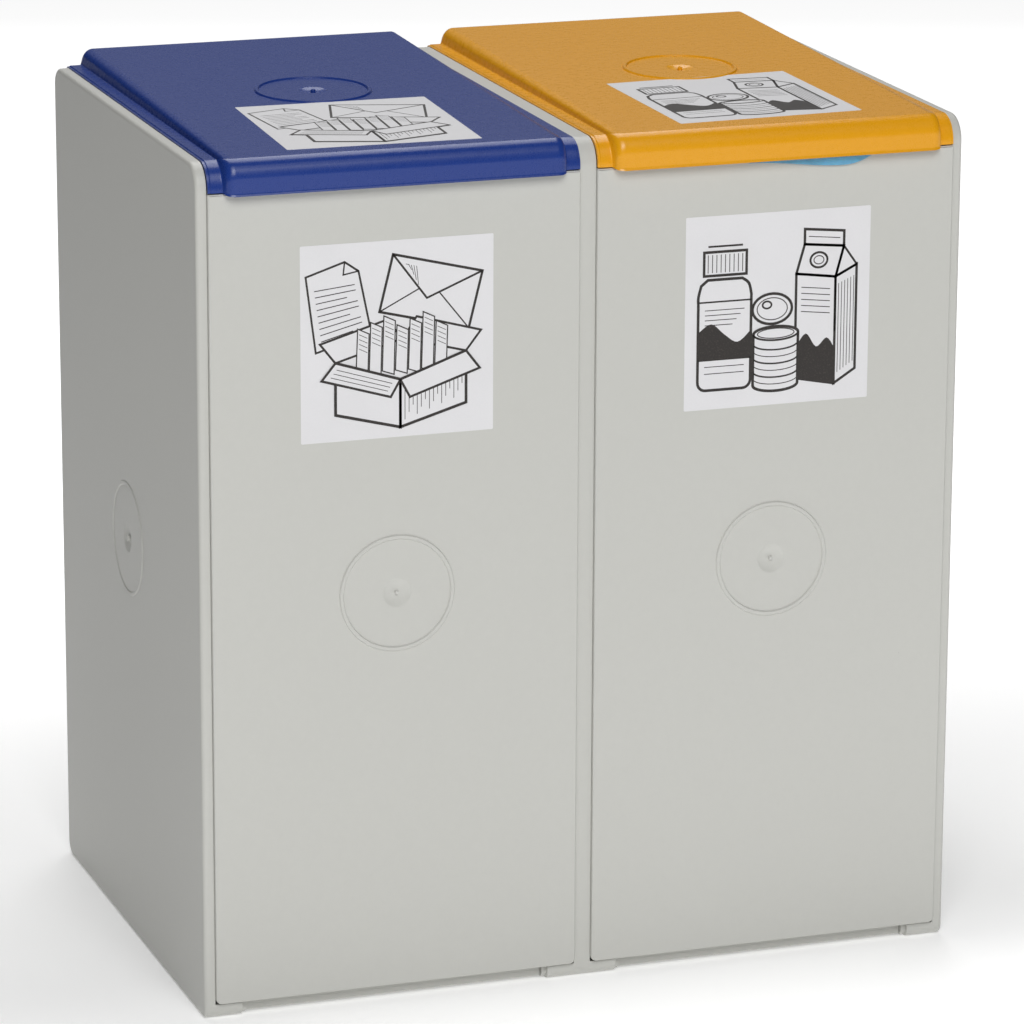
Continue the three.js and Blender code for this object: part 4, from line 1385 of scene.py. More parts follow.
@dataclass
class Lids:
    """The crowned lids: flanges that bend over the front, a slanted step, crown, bevel and skirt."""

    finishes: Finishes
    half: float = 134.15
    thickness: float = 3
    rim_width: float = 1.5
    rim_drop: float = 0.55
    flange_width: float = 9.4
    step_slant: float = 76
    step_root_radius: float = 1.2
    step_shoulder_radius: float = 7
    step_nominal: float = 10
    rear: float = 380
    rear_bottom: float = 606
    flange_top: float = 617
    bend_radius: float = 18
    flange_face: float = -3
    flange_bottom: float = 597
    crown_front: float = 619.6
    slope_degrees: float = 1.55
    crown_edge: float = -3.6
    skirt_face: float = -9.5
    bevel_fall: float = 9
    skirt_bottom: float = 595
    lip_height: float = 1.5
    lip_flare: float = 0.8
    rib_xs: Pair = (-62, 62)
    rib_half: float = 1.1
    rib_span: Pair = (22, 357.4)
    rib_bottom: float = 611
    sunk: float = 1.5
    hinge_y: float = 369
    hinge_z: float = 604
    knuckle_radius: float = 5.6
    bore_radius: float = 2.85
    knuckle_half: float = 9
    knuckle_xs: tuple[float, ...] = (-106.7, -69.3, 69.3, 106.7)
    medallion_y: float = 192.5
    inner_delay: float = 0.75
    rows: int = 9
    step_cuts: int = 9

    def crown(self, y: float) -> float:
        """Height of the crown's top at a y."""
        return self.crown_front + y * math.tan(math.radians(self.slope_degrees))

    def _step(self) -> list[Pair]:
        """The step's section.

        Returns:
            Points as way inwards in millimetres and share of the rise.
        """
        slant = math.radians(self.step_slant)
        rounds = (self.step_root_radius + self.step_shoulder_radius) * (1 - math.cos(slant))
        straight = (self.step_nominal - rounds) / math.sin(slant)
        angles = [slant * index / self.step_cuts for index in range(1, self.step_cuts + 1)]
        small, large = self.step_root_radius, self.step_shoulder_radius
        root = [(small * math.sin(a), small * (1 - math.cos(a))) for a in angles]
        width = root[-1][0] + straight * math.cos(slant) + large * math.sin(slant)
        shoulder = [
            (width - large * math.sin(a), self.step_nominal - large * (1 - math.cos(a)))
            for a in reversed([0, *angles])
        ]
        return [(x, z / self.step_nominal) for x, z in (*root, *shoulder)]

    def _side_view(self, crown: bool, drop: float) -> Object:
        """A side view of the shell, drawn at the flange's outer edge from the rear to the front.

        Args:
            crown: The crown's side view, with bevel, skirt and lip, instead of the flange's.
            drop: Distance inwards from the outer surface.

        Returns:
            The drawn line.
        """
        if crown:
            corners = [
                (self.rear, self.rear_bottom),
                (self.rear, self.crown(self.rear)),
                (self.crown_edge, self.crown(self.crown_edge)),
                (self.skirt_face, self.crown_front - self.bevel_fall),
                (self.skirt_face, self.skirt_bottom + self.lip_height),
                (self.skirt_face - self.lip_flare, self.skirt_bottom),
            ]
            radii = (0, 9 - drop, 10 - drop, 13 - drop, 2 + drop, 0)
        else:
            cut = self.bend_radius * math.sqrt(2) * math.tan(math.pi / 8)
            bend = self.bend_radius - 0.02 - drop
            corners = [
                (self.rear, self.rear_bottom),
                (self.rear, self.flange_top),
                (self.flange_face + cut, self.flange_top),
                (self.flange_face, self.flange_top - cut),
                # a hair of flare, so that the flange has as many corners as the crown
                (self.flange_face - 0.06, self.flange_bottom + 1.2),
                (self.flange_face - 0.1, self.flange_bottom),
            ]
            radii = (0, 4 - drop, bend, bend, 20, 0)
        moved = beside(corners, drop, closed=False)
        moved[-1] = (moved[-1][0], corners[-1][1])
        return BENCH.wire("side_view", [(-self.half, y, z) for y, z in moved], radii, self.rows)

    @staticmethod
    def _rows(line: Object) -> list[Pair]:
        """Puts a line's points in order.

        Args:
            line: The line.

        Returns:
            Their y and z, from the rear end on.
        """
        ways: dict[int, list[int]] = {}
        for edge in line.data.edges:
            for one, other in (edge.vertices, reversed(edge.vertices)):
                ways.setdefault(one, []).append(other)
        ends = [index for index, others in ways.items() if len(others) == 1]
        order = [max(ends, key=lambda index: line.data.vertices[index].co.y)]
        while len(order) < len(line.data.vertices):
            order.append(next(index for index in ways[order[-1]] if index not in order[-2:]))
        return [tuple(line.data.vertices[index].co)[1:] for index in order]

    def _strip(self, name: str, drop: float, delay: float, rim_drop: float) -> Object:
        """Half of the shell's outer or inner surface, pulled from the edge to the middle.

        Args:
            name: The strip's name.
            drop: Distance inwards from the outer surface.
            delay: How much further inwards along x the step lies.
            rim_drop: How much lower the flange's rim lies.

        Returns:
            The strip, open at the middle.
        """
        strip = self._side_view(False, drop + rim_drop)
        strip.name = name
        rim = self._rows(strip)
        views = [self._side_view(crown, drop) for crown in (False, True)]
        low, high = (self._rows(view) for view in views)
        for view in views:
            bpy.data.objects.remove(view)
        start = self.flange_width + delay
        with BENCH.editing(strip):
            bpy.ops.mesh.select_all(action="SELECT")
            self._pull(self.rim_width)
            self._pull(self.rim_drop)
            self._move_rows(strip, rim, low)
            self._pull(start - self.rim_width - self.rim_drop)
            now = low
            way = 0.0
            for x, rise in self._step():
                after = [between(a, b, rise) for a, b in zip(low, high)]
                self._pull(x - way)
                self._move_rows(strip, now, after)
                now, way = after, x
            self._pull(self.half - start - way)
        return strip

    @staticmethod
    def _pull(step: float) -> None:
        """Extrudes the selected line along x."""
        bpy.ops.mesh.extrude_region_move(TRANSFORM_OT_translate={"value": (step, 0, 0)})

    @staticmethod
    def _move_rows(strip: Object, before: Sequence[Pair], after: Sequence[Pair]) -> None:
        """Moves the selected line's points from one side view to another.

        Args:
            strip: The edited strip.
            before: Where the line's rows are now.
            after: Where they go.
        """
        shape = bmesh.from_edit_mesh(strip.data)
        for point in shape.verts:
            if point.select:
                row = min(range(len(before)), key=lambda i: math.dist(before[i], point.co.yz))
                point.co.y, point.co.z = after[row]
        bmesh.update_edit_mesh(strip.data)

    def _shell(self) -> Object:
        """The lid's shell: outer and inner surface, mirrored, joined along their rims.

        Returns:
            The closed shell.
        """
        outer = self._strip("lid_left_finished", 0, 0, self.rim_drop)
        inner = self._strip("inner", self.thickness, self.thickness * self.inner_delay, 0)
        shell = BENCH.join([outer, inner])
        across = (True, False, False)
        BENCH.apply(shell, "MIRROR", use_axis=across, use_mirror_merge=True, merge_threshold=NEAR)
        with BENCH.editing(shell, "EDGE"):
            bpy.ops.mesh.select_all(action="SELECT")
            bpy.ops.mesh.region_to_loop()
            bpy.ops.mesh.bridge_edge_loops()
            bpy.ops.mesh.select_all(action="SELECT")
            bpy.ops.mesh.normals_make_consistent(inside=False)
        return BENCH.soften(shell, 0.45, 3, 60)

    def _fit_underside(self, shell: Object) -> Object:
        """Adds the ribs and the bored hinge knuckles under the crown.

        Args:
            shell: The lid's shell.

        Returns:
            The lid.
        """
        start, end = self.rib_span
        for x in self.rib_xs:
            outline = [
                (start, self.rib_bottom),
                (end, self.rib_bottom),
                (end, self.crown(end) - self.sunk),
                (start, self.crown(start) - self.sunk),
            ]
            low, high = x - self.rib_half, x + self.rib_half
            BENCH.fuse(shell, BENCH.prism("rib", Axis.X, outline, low, high, (1, 1, 0, 0), 3))
        top = self.crown(self.hinge_y) - self.sunk
        reach = self.knuckle_radius
        for x in self.knuckle_xs:
            outline = [
                (self.hinge_y - reach, self.hinge_z - reach),
                (self.hinge_y + reach, self.hinge_z - reach),
                (self.hinge_y + reach, top),
                (self.hinge_y - reach, top),
            ]
            round_end = (reach - 0.02, reach - 0.02, 0, 0)
            low, high = x - self.knuckle_half, x + self.knuckle_half
            BENCH.fuse(shell, BENCH.prism("knuckle", Axis.X, outline, low, high, round_end, 12))
        length = self.knuckle_half + 1
        centres = [(x, self.hinge_y, self.hinge_z) for x in self.knuckle_xs]
        bores = [BENCH.pin(self.bore_radius, -length, length, centre, (1, 0, 0)) for centre in centres]
        return BENCH.cut(shell, *bores)

    def build(self) -> None:
        """Models one lid, copies it and dresses both."""
        lid = self._fit_underside(self._shell())
        slope = math.radians(self.slope_degrees)
        middle = (0, self.medallion_y, self.crown(self.medallion_y))
        upwards = (0, -math.sin(slope), math.cos(slope))
        Medallion(ring_height=1.0, nub_radius=1.8, nub_height=0.4).press(lid, middle, upwards)
        looks = {Side.LEFT: (self.finishes.blue, "lid_blue"), Side.RIGHT: (self.finishes.yellow, "lid_yellow")}
        for side, obj in twins(lid, "lid"):
            material, slot = looks[side]
            deliver(obj, material, f"lid_{side.word}", f"lid_{side.word}", slot)


@dataclass
class Hinges:
    """Under each hinge a channel rail with two ears and holes for two screws, and a steel rod."""

    finishes: Finishes
    half: float = 134
    front: float = 353.4
    back: float = 368.4
    bottom: float = 572
    top: float = 594
    wall: float = 3
    ear_xs: Pair = (-88, 88)
    ear_half: float = 8.3
    hinge_y: float = 369
    hinge_z: float = 604
    knuckle_radius: float = 5.6
    bore_radius: float = 2.85
    screw_y: float = 360.9
    screw_z: float = 581
    screw_radius: float = 1.8
    rod_half: float = 138.5
    rod_radius: float = 2.5
    rod_chamfer: float = 0.6

    def _rail(self) -> Object:
        """The channel with its ears, bored.

        Returns:
            The rail.
        """
        rail = BENCH.block(
            "hinge_rail_left_finished",
            (-self.half, self.front, self.bottom),
            (self.half, self.back, self.top),
        )
        BENCH.bevel(rail, lambda a, b: a.z > self.top - NEAR and b.z > self.top - NEAR, 0.8, 3)
        BENCH.hollow(rail, Axis.Z, -1, self.wall, self.top - self.wall - self.bottom)
        for x in self.ear_xs:
            outline = [
                (self.hinge_y - 9, self.top - 1),
                (self.hinge_y - 0.6, self.top - 1),
                (self.hinge_y - 0.6, self.hinge_z),
                (self.hinge_y - self.knuckle_radius, self.hinge_z),
            ]
            reach = self.ear_half
            BENCH.fuse(rail, BENCH.prism("ear", Axis.X, outline, x - reach, x + reach))
            centre = (x, self.hinge_y, self.hinge_z)
            BENCH.fuse(rail, BENCH.pin(self.knuckle_radius, -reach, reach, centre, (1, 0, 0), 40))
        reach = self.ear_half + 1
        centres = [(x, self.hinge_y, self.hinge_z) for x in self.ear_xs]
        tools = [BENCH.pin(self.bore_radius, -reach, reach, centre, (1, 0, 0)) for centre in centres]
        for x in (-self.half, self.half):
            tools.append(BENCH.pin(self.screw_radius, -4, 4, (x, self.screw_y, self.screw_z), (1, 0, 0), 24))
        return BENCH.cut(rail, *tools)

    def _rod(self) -> Object:
        """The hinge rod with chamfered ends.

        Returns:
            The rod.
        """
        end, chamfer = self.rod_half, self.rod_chamfer
        profile = [
            (0, -end),
            (self.rod_radius - chamfer, -end),
            (self.rod_radius, -end + chamfer),
            (self.rod_radius, end - chamfer),
            (self.rod_radius - chamfer, end),
            (0, end),
        ]
        centre = (0, self.hinge_y, self.hinge_z)
        return BENCH.turned("hinge_rod_left_finished", profile, centre, (1, 0, 0), 40)

    def build(self) -> None:
        """Models one rail and one rod, copies them and dresses all four."""
        for word, first, material, slot in (
            ("hinge_rail", self._rail(), self.finishes.grey, "body_grey"),
            ("hinge_rod", self._rod(), self.finishes.steel, "steel"),
        ):
            for side, obj in twins(first, word):
                deliver(obj, material, "root", f"{word}_{side.word}", slot)


@dataclass
class Screws:
    """Pan-head screws with a cross recess, in the rails and under the floor trays."""

    finishes: Finishes
    radius: float = 1.5
    head_radius: float = 3.4
    head_height: float = 1.4
    thread_pitch: float = 0.9
    thread_depth: float = 0.28
    slot_half: Pair = (2, 0.35)
    slot_depth: float = 0.85
    floor_length: float = 9.5
    rail_length: float = 7.6
    head_face: float = 0.1
    floor_x: float = 124.5
    floor_ys: Pair = (60, 325)
    rail_x: float = 129.4
    rail_place: Pair = (360.9, 581)
    sharp: float = 40

    def _screw(self, length: float) -> Object:
        """One screw along +z with its head's outer face at height 0.

        Args:
            length: Its length below the head.

        Returns:
            The screw.
        """
        head, core, neck = self.head_radius, self.radius, self.head_height
        dome = [(0, 0), (head - 1.3, 0), (head - 0.5, 0.25), (head - 0.08, 0.75), (head, neck)]
        profile = [*dome, (core, neck)]
        for turn in range(int((length - 1.2) / self.thread_pitch)):
            z = neck + 0.5 + turn * self.thread_pitch
            profile += [(core - self.thread_depth, z), (core, z + self.thread_pitch / 2)]
        profile += [(core - self.thread_depth, neck + length - 1), (0, neck + length)]
        screw = BENCH.turned("screw", profile, (0, 0, 0), (0, 0, 1), 28)
        (long, short), deep = self.slot_half, self.slot_depth
        bar = BENCH.block("slot", (-long, -short, -1), (long, short, deep))
        cross = BENCH.block("slot", (-short, -long, -1), (short, long, deep))
        BENCH.cut(screw, bar)
        return BENCH.cut(screw, cross)

    def build(self) -> None:
        """Models a floor screw and a rail screw and copies them to their holes."""
        floor = self._screw(self.floor_length)
        rail = self._screw(self.rail_length)
        for side in Side:
            middle = side.value * COMPARTMENT
            for end, letter in ((-1, "a"), (1, "b")):
                node = f"rail_screw_{side.word}_{letter}"
                y, z = self.rail_place
                turn = Vector((end, 0, 0)).to_track_quat("Z", "Y").to_matrix().to_4x4()
                piece = BENCH.copy(rail, f"{node}_finished")
                BENCH.put(piece, Matrix.Translation((middle + end * self.rail_x, y, z)) @ turn)
                deliver(piece, self.finishes.steel, "root", node, "steel", self.sharp)
                for place, y in zip(("front", "back"), self.floor_ys):
                    node = f"floor_screw_{side.word}_{letter}_{place}"
                    shift = (middle + end * self.floor_x, y, self.head_face)
                    piece = BENCH.copy(floor, f"{node}_finished", shift)
                    deliver(piece, self.finishes.steel, "root", node, "steel", self.sharp)
        for obj in (floor, rail):
            bpy.data.objects.remove(obj)


@dataclass
class BagFrames:
    """The loose frames on the ledges that hang the bags: a flat rim with a collar."""

    finishes: Finishes
    half: float = 131.9
    front: float = 17
    back: float = 349.4
    bottom: float = 600.3
    top: float = 603.3
    rail: float = 16
    collar_wall: float = 2.5
    collar_bottom: float = 581.3
    corner_radius: float = 22

    def _plate(self, name: str, inset: float, low: float, high: float) -> Object:
        """A plate with the frame's rounded outline.

        Args:
            name: Its name.
            inset: How far the outline is drawn in.
            low: Its underside's height.
            high: Its top's height.

        Returns:
            The plate.
        """
        corner = self.corner_radius - inset
        start = (-self.half + inset, self.front + inset, low)
        end = (self.half - inset, self.back - inset, high)
        plate = BENCH.block(name, start, end)
        return BENCH.bevel(plate, lambda a, b: abs(a.z - b.z) > NEAR, corner, 14)

    def build(self) -> None:
        """Models one frame, copies it and dresses both."""
        frame = self._plate("bag_frame_left_finished", 0, self.bottom, self.top)
        BENCH.soften(frame, 0.7, 3)
        collar = self._plate("collar", self.rail - self.collar_wall, self.collar_bottom, self.top - 1)
        BENCH.fuse(frame, collar)
        BENCH.cut(frame, self._plate("mouth", self.rail, self.collar_bottom - 1, self.top + 1))
        for side, obj in twins(frame, "bag_frame"):
            deliver(obj, self.finishes.dark, "root", f"bag_frame_{side.word}", "frame_dark")


@dataclass
class LinerBag:
    """The thin bag that hangs in the right compartment, folded over its frame."""

    finishes: Finishes
    half: float = 131.9
    front: float = 17
    back: float = 349.4
    corner_radius: float = 22
    film: float = 0.35
    around: int = 240
    # rings from the cuff's hem, over the frame and down inside: inset, height, looseness
    rings: tuple[Triple, ...] = (
        (1.6, 603.9, 1.7), (1.9, 604.7, 1.6), (3.2, 604.9, 1.2), (8.0, 604.3, 0.8),
        (13.5, 604.2, 0.5), (15.8, 603.8, 0.3), (16.6, 602.4, 0.2), (16.9, 598.0, 0.2),
        (16.9, 590.0, 0.4), (16.7, 583.0, 0.8), (15.5, 576.0, 1.6), (12.5, 565.0, 2.4),
        (8.5, 548.0, 3.0), (6.0, 525.0, 3.2), (5.5, 490.0, 3.4), (5.5, 440.0, 3.6),
        (5.5, 380.0, 3.8), (5.5, 320.0, 3.8), (5.5, 260.0, 3.8), (5.5, 200.0, 3.8),
        (5.5, 140.0, 3.8), (6.0, 90.0, 3.8), (7.5, 55.0, 3.6), (11.0, 34.0, 3.0),
        (17.0, 23.5, 2.2), (27.0, 19.6, 1.0), (50.0, 18.6, 0.7), (80.0, 18.4, 0.6),
        (105.0, 18.4, 0.5), (120.0, 18.4, 0.4),
    )
    tongue_middle: float = 24
    tongue_width: float = 92
    tongue_peak: float = 0.78
    tongue_least: float = 0.42
    tongue_edge: float = 597.3
    tongue_columns: int = 48
    # y and height along the tongue, from the frame over the panel's edge to the hem
    tongue_path: tuple[Pair, ...] = (
        (26.0, 604.9), (20.0, 604.9), (16.0, 604.5), (10.0, 602.0), (4.0, 599.2), (0.5, 597.7),
        (-2.2, 597.3), (-3.9, 596.0), (-4.3, 594.2), (-4.35, 592.5), (-4.4, 590.2), (-4.5, 587.8),
    )
    # how much of a ring's looseness is even, pleats, waves and small creases
    slack: tuple[float, ...] = (0.55, 0.9, 0.55, 0.3)
    base_top: float = 30
    cuff_bottom: float = 603.5

    def _outline(self, turn: float, inset: float) -> Pair:
        """A point of the frame's rounded outline drawn in by an inset.

        Args:
            turn: Place round the outline, 0 to 1 of its whole length.
            inset: Distance inwards.

        Returns:
            The point's x and y.
        """
        half_x = self.half - inset
        half_y = (self.back - self.front) / 2 - inset
        radius = min(max(self.corner_radius + 4 - inset * 0.35, 6), half_x * 0.98, half_y * 0.98)
        quarter = math.pi * radius / 2
        left = turn * (4 * (half_x + half_y - 2 * radius) + 4 * quarter)
        ways = [(1, 0), (0, 1), (-1, 0), (0, -1)]
        for leg, way in enumerate(ways):
            out = ways[leg - 1]
            run, reach = (half_y - radius, half_x) if leg % 2 else (half_x - radius, half_y)
            if left <= 2 * run:
                along, across = left - run, reach
                break
            left -= 2 * run
            if left <= quarter or leg == 3:
                along = run + radius * math.sin(left / radius)
                across = reach - radius + radius * math.cos(left / radius)
                break
            left -= quarter
        x, y = (way[i] * along + out[i] * across for i in (0, 1))
        return x, (self.front + self.back) / 2 + y

    def _bag(self) -> Object:
        """The bag as one loft: an open tube shaped ring by ring, closed at its base.

        Returns:
            The bag, without its film's thickness.
        """
        BENCH.clear()
        count = len(self.rings)
        bpy.ops.mesh.primitive_cylinder_add(
            vertices=self.around, radius=1, depth=1, end_fill_type="NOTHING"
        )
        obj = bpy.context.object
        obj.name = "liner_bag_right_finished"
        with BENCH.editing(obj, "EDGE"):
            BENCH.pick_edges(obj, lambda a, b: abs(a.z - b.z) > 0.5)
            bpy.ops.mesh.subdivide(number_cuts=count - 2)
        even, pleats, waves, creases = self.slack
        for point in obj.data.vertices:
            ring = min(range(count), key=lambda i: abs(point.co.z - (0.5 - i / (count - 1))))
            turn = (math.atan2(point.co.y, point.co.x) / (2 * math.pi)) % 1
            inset, z, loose = self.rings[ring]
            x, y = self._outline(turn, inset)
            x0, y0 = self._outline(turn, inset + 1)
            inward = Vector((x0 - x, y0 - y, 0)).normalized()
            angle = turn * 2 * math.pi
            pleat = noise.noise(Vector((math.cos(angle) * 9, math.sin(angle) * 9, z * 0.006)))
            wave = noise.noise(Vector((x * 0.03, y * 0.03, z * 0.012 + 7)))
            fine = noise.noise(Vector((x * 0.11, y * 0.11, z * 0.05 + 3)))
            push = loose * (even + pleats * pleat + waves * wave + creases * fine)
            point.co = Vector((x, y, z)) + inward * max(push, 0)
            if z < self.base_top or z > self.cuff_bottom:
                point.co.z += abs(wave + 0.6 * fine) * loose * (0.8 if z > self.cuff_bottom else 1.6)
        return self._close_base(obj)

    def _close_base(self, obj: Object) -> Object:
        """Fills the hole left in the middle of the base.

        Args:
            obj: The bag.

        Returns:
            The bag.
        """
        with BENCH.editing(obj, "EDGE"):
            shape = bmesh.from_edit_mesh(obj.data)
            for edge in shape.edges:
                low = max(v.co.z for v in edge.verts) < 100
                edge.select = edge.is_boundary and low
            bmesh.update_edit_mesh(obj.data)
            bpy.ops.mesh.edge_face_add()
            bpy.ops.mesh.poke()
        return obj

    def _hem(self, share: float) -> float:
        """How far down the tongue's hem hangs.

        Args:
            share: A place across the tongue, 0 to 1.

        Returns:
            The drop's share, 0 to 1.
        """
        rise = min(1.0, share / self.tongue_peak)
        fall = min(1.0, (1 - share) / (1 - self.tongue_peak))
        least = self.tongue_least
        return least + (1 - least) * (3 * rise**2 - 2 * rise**3) * (1 - (1 - fall) ** 2)

    def _tongue(self) -> Object:
        """The front tongue: film that runs off the frame and folds over the panel's top edge.

        Returns:
            The tongue, without its film's thickness.
        """
        BENCH.clear()
        rows, edge = len(self.tongue_path), self.tongue_edge
        bpy.ops.mesh.primitive_grid_add(x_subdivisions=self.tongue_columns, y_subdivisions=rows - 1, size=2)
        obj = bpy.context.object
        obj.name = "tongue"
        left = self.tongue_middle - self.tongue_width / 2
        for point in obj.data.vertices:
            share = (point.co.x + 1) / 2
            row = round((1 - point.co.y) / 2 * (rows - 1))
            y, z = self.tongue_path[row]
            x = left + self.tongue_width * share
            drop = max(0.0, edge - z)
            if drop > 0:
                z = edge - drop * self._hem(share)
            ripple = 0.35 * math.sin(share * 19) * math.exp(-drop / 6)
            ripple = abs(ripple + 0.25 * noise.noise(Vector((x * 0.15, row, 0))))
            point.co = Vector((x, y, z + (ripple if y > 0 else 0)))
            if y <= 0:
                point.co.y -= ripple * 0.35
        return obj

    def build(self) -> None:
        """Models and dresses the bag."""
        bag = BENCH.join([self._bag(), self._tongue()])
        with BENCH.editing(bag):
            bpy.ops.mesh.select_all(action="SELECT")
            bpy.ops.mesh.normals_make_consistent(inside=True)
        BENCH.apply(bag, "SOLIDIFY", thickness=self.film, offset=0)
        BENCH.put(bag, Matrix.Translation((COMPARTMENT, 0, 0)))
        deliver(bag, self.finishes.film, "root", "liner_bag_right", "liner_film", 60)


# ---- labels


class Sketch:
    """A flat drawing on a label, in millimetres from the label's middle."""

    weight: float = 1.22
    mark_half: float = 0.008
    layer: float = 0.03
    fill_lift: float = 0.012
    line_lift: float = 0.014

    def __init__(self, level: float, materials: dict[Tone, Material]) -> None:
        """Starts above the label's face.

        Args:
            level: Height of the label's face.
            materials: The two tones' materials.
        """
        self.level = level
        self.materials = materials
        self.parts: list[Object] = []

    def _flat(self, loops: Sequence[Sequence[Pair]], tone: Tone, lift: float) -> None:
        """Adds a thin filled shape.

        Args:
            loops: Its outline, and a hole's outline if it has one.
            tone: Paper or ink.
            lift: How far above the level it lies.
        """
        curve = bpy.data.curves.new("mark", "CURVE")
        curve.dimensions = "2D"
        curve.fill_mode = "BOTH"
        curve.extrude = self.mark_half
        for loop in loops:
            spline = curve.splines.new("POLY")
            spline.points.add(len(loop) - 1)
            spline.use_cyclic_u = True
            for point, (x, y) in zip(spline.points, loop):
                point.co = (x, y, 0, 1)
        obj = bpy.data.objects.new("mark", curve)
        bpy.context.scene.collection.objects.link(obj)
        BENCH.hold(obj)
        bpy.ops.object.convert(target="MESH")
        BENCH.weld(obj)
        obj.data.materials.append(self.materials[tone])
        self.parts.append(BENCH.put(obj, Matrix.Translation((0, 0, self.level + lift))))

    def raise_level(self) -> None:
        """The next shapes lie over the ones so far."""
        self.level += self.layer

    def fill(self, points: Sequence[Pair], tone: Tone = Tone.PAPER) -> None:
        """A filled shape."""
        self._flat([points], tone, 0.0 if tone is Tone.PAPER else self.fill_lift)

    def line(self, points: Sequence[Pair], width: float = 1.3, closed: bool = False) -> None:
        """Adds a line of even width.

        Args:
            points: Its corners.
            width: Its width before the drawing's weight.
            closed: Whether it runs round a shape.
        """
        reach = width * self.weight / 2
        one = beside(points, reach, closed)
        two = beside(points, -reach, closed)
        self._flat([one, two] if closed else [[*one, *reversed(two)]], Tone.INK, self.line_lift)

    def shape(self, points: Sequence[Pair], width: float = 1.3) -> None:
        """A closed shape: paper inside, an ink line round it."""
        self.fill(points)
        self.line(points, width, closed=True)


def arc(centre: Pair, radii: Pair, start: float, end: float, steps: int = 24) -> list[Pair]:
    """Points of an ellipse's arc.

    Args:
        centre: The ellipse's middle.
        radii: Its two radii.
        start: First angle in degrees.
        end: Last angle in degrees.
        steps: Segments of the arc.

    Returns:
        The points, both ends included.
    """
    points = []
    for step in range(steps + 1):
        angle = math.radians(start + (end - start) * step / steps)
        points.append((centre[0] + radii[0] * math.cos(angle), centre[1] + radii[1] * math.sin(angle)))
    return points


def curve(points: Sequence[Pair], steps: int = 8) -> list[Pair]:
    """A smooth open line through points.

    Args:
        points: The points.
        steps: Segments from one to the next.

    Returns:
        The line's points.
    """
    ends = [points[0], *points, points[-1]]
    smooth = []
    for a, b, c, d in zip(ends, ends[1:], ends[2:], ends[3:]):
        for step in range(steps):
            t = step / steps
            point = []
            for p, q, r, s in zip(a, b, c, d):
                square, cube = 2 * p - 5 * q + 4 * r - s, 3 * q - p - 3 * r + s
                point.append(0.5 * (2 * q + (r - p) * t + square * t * t + cube * t**3))
            smooth.append(tuple(point))
    return [*smooth, points[-1]]


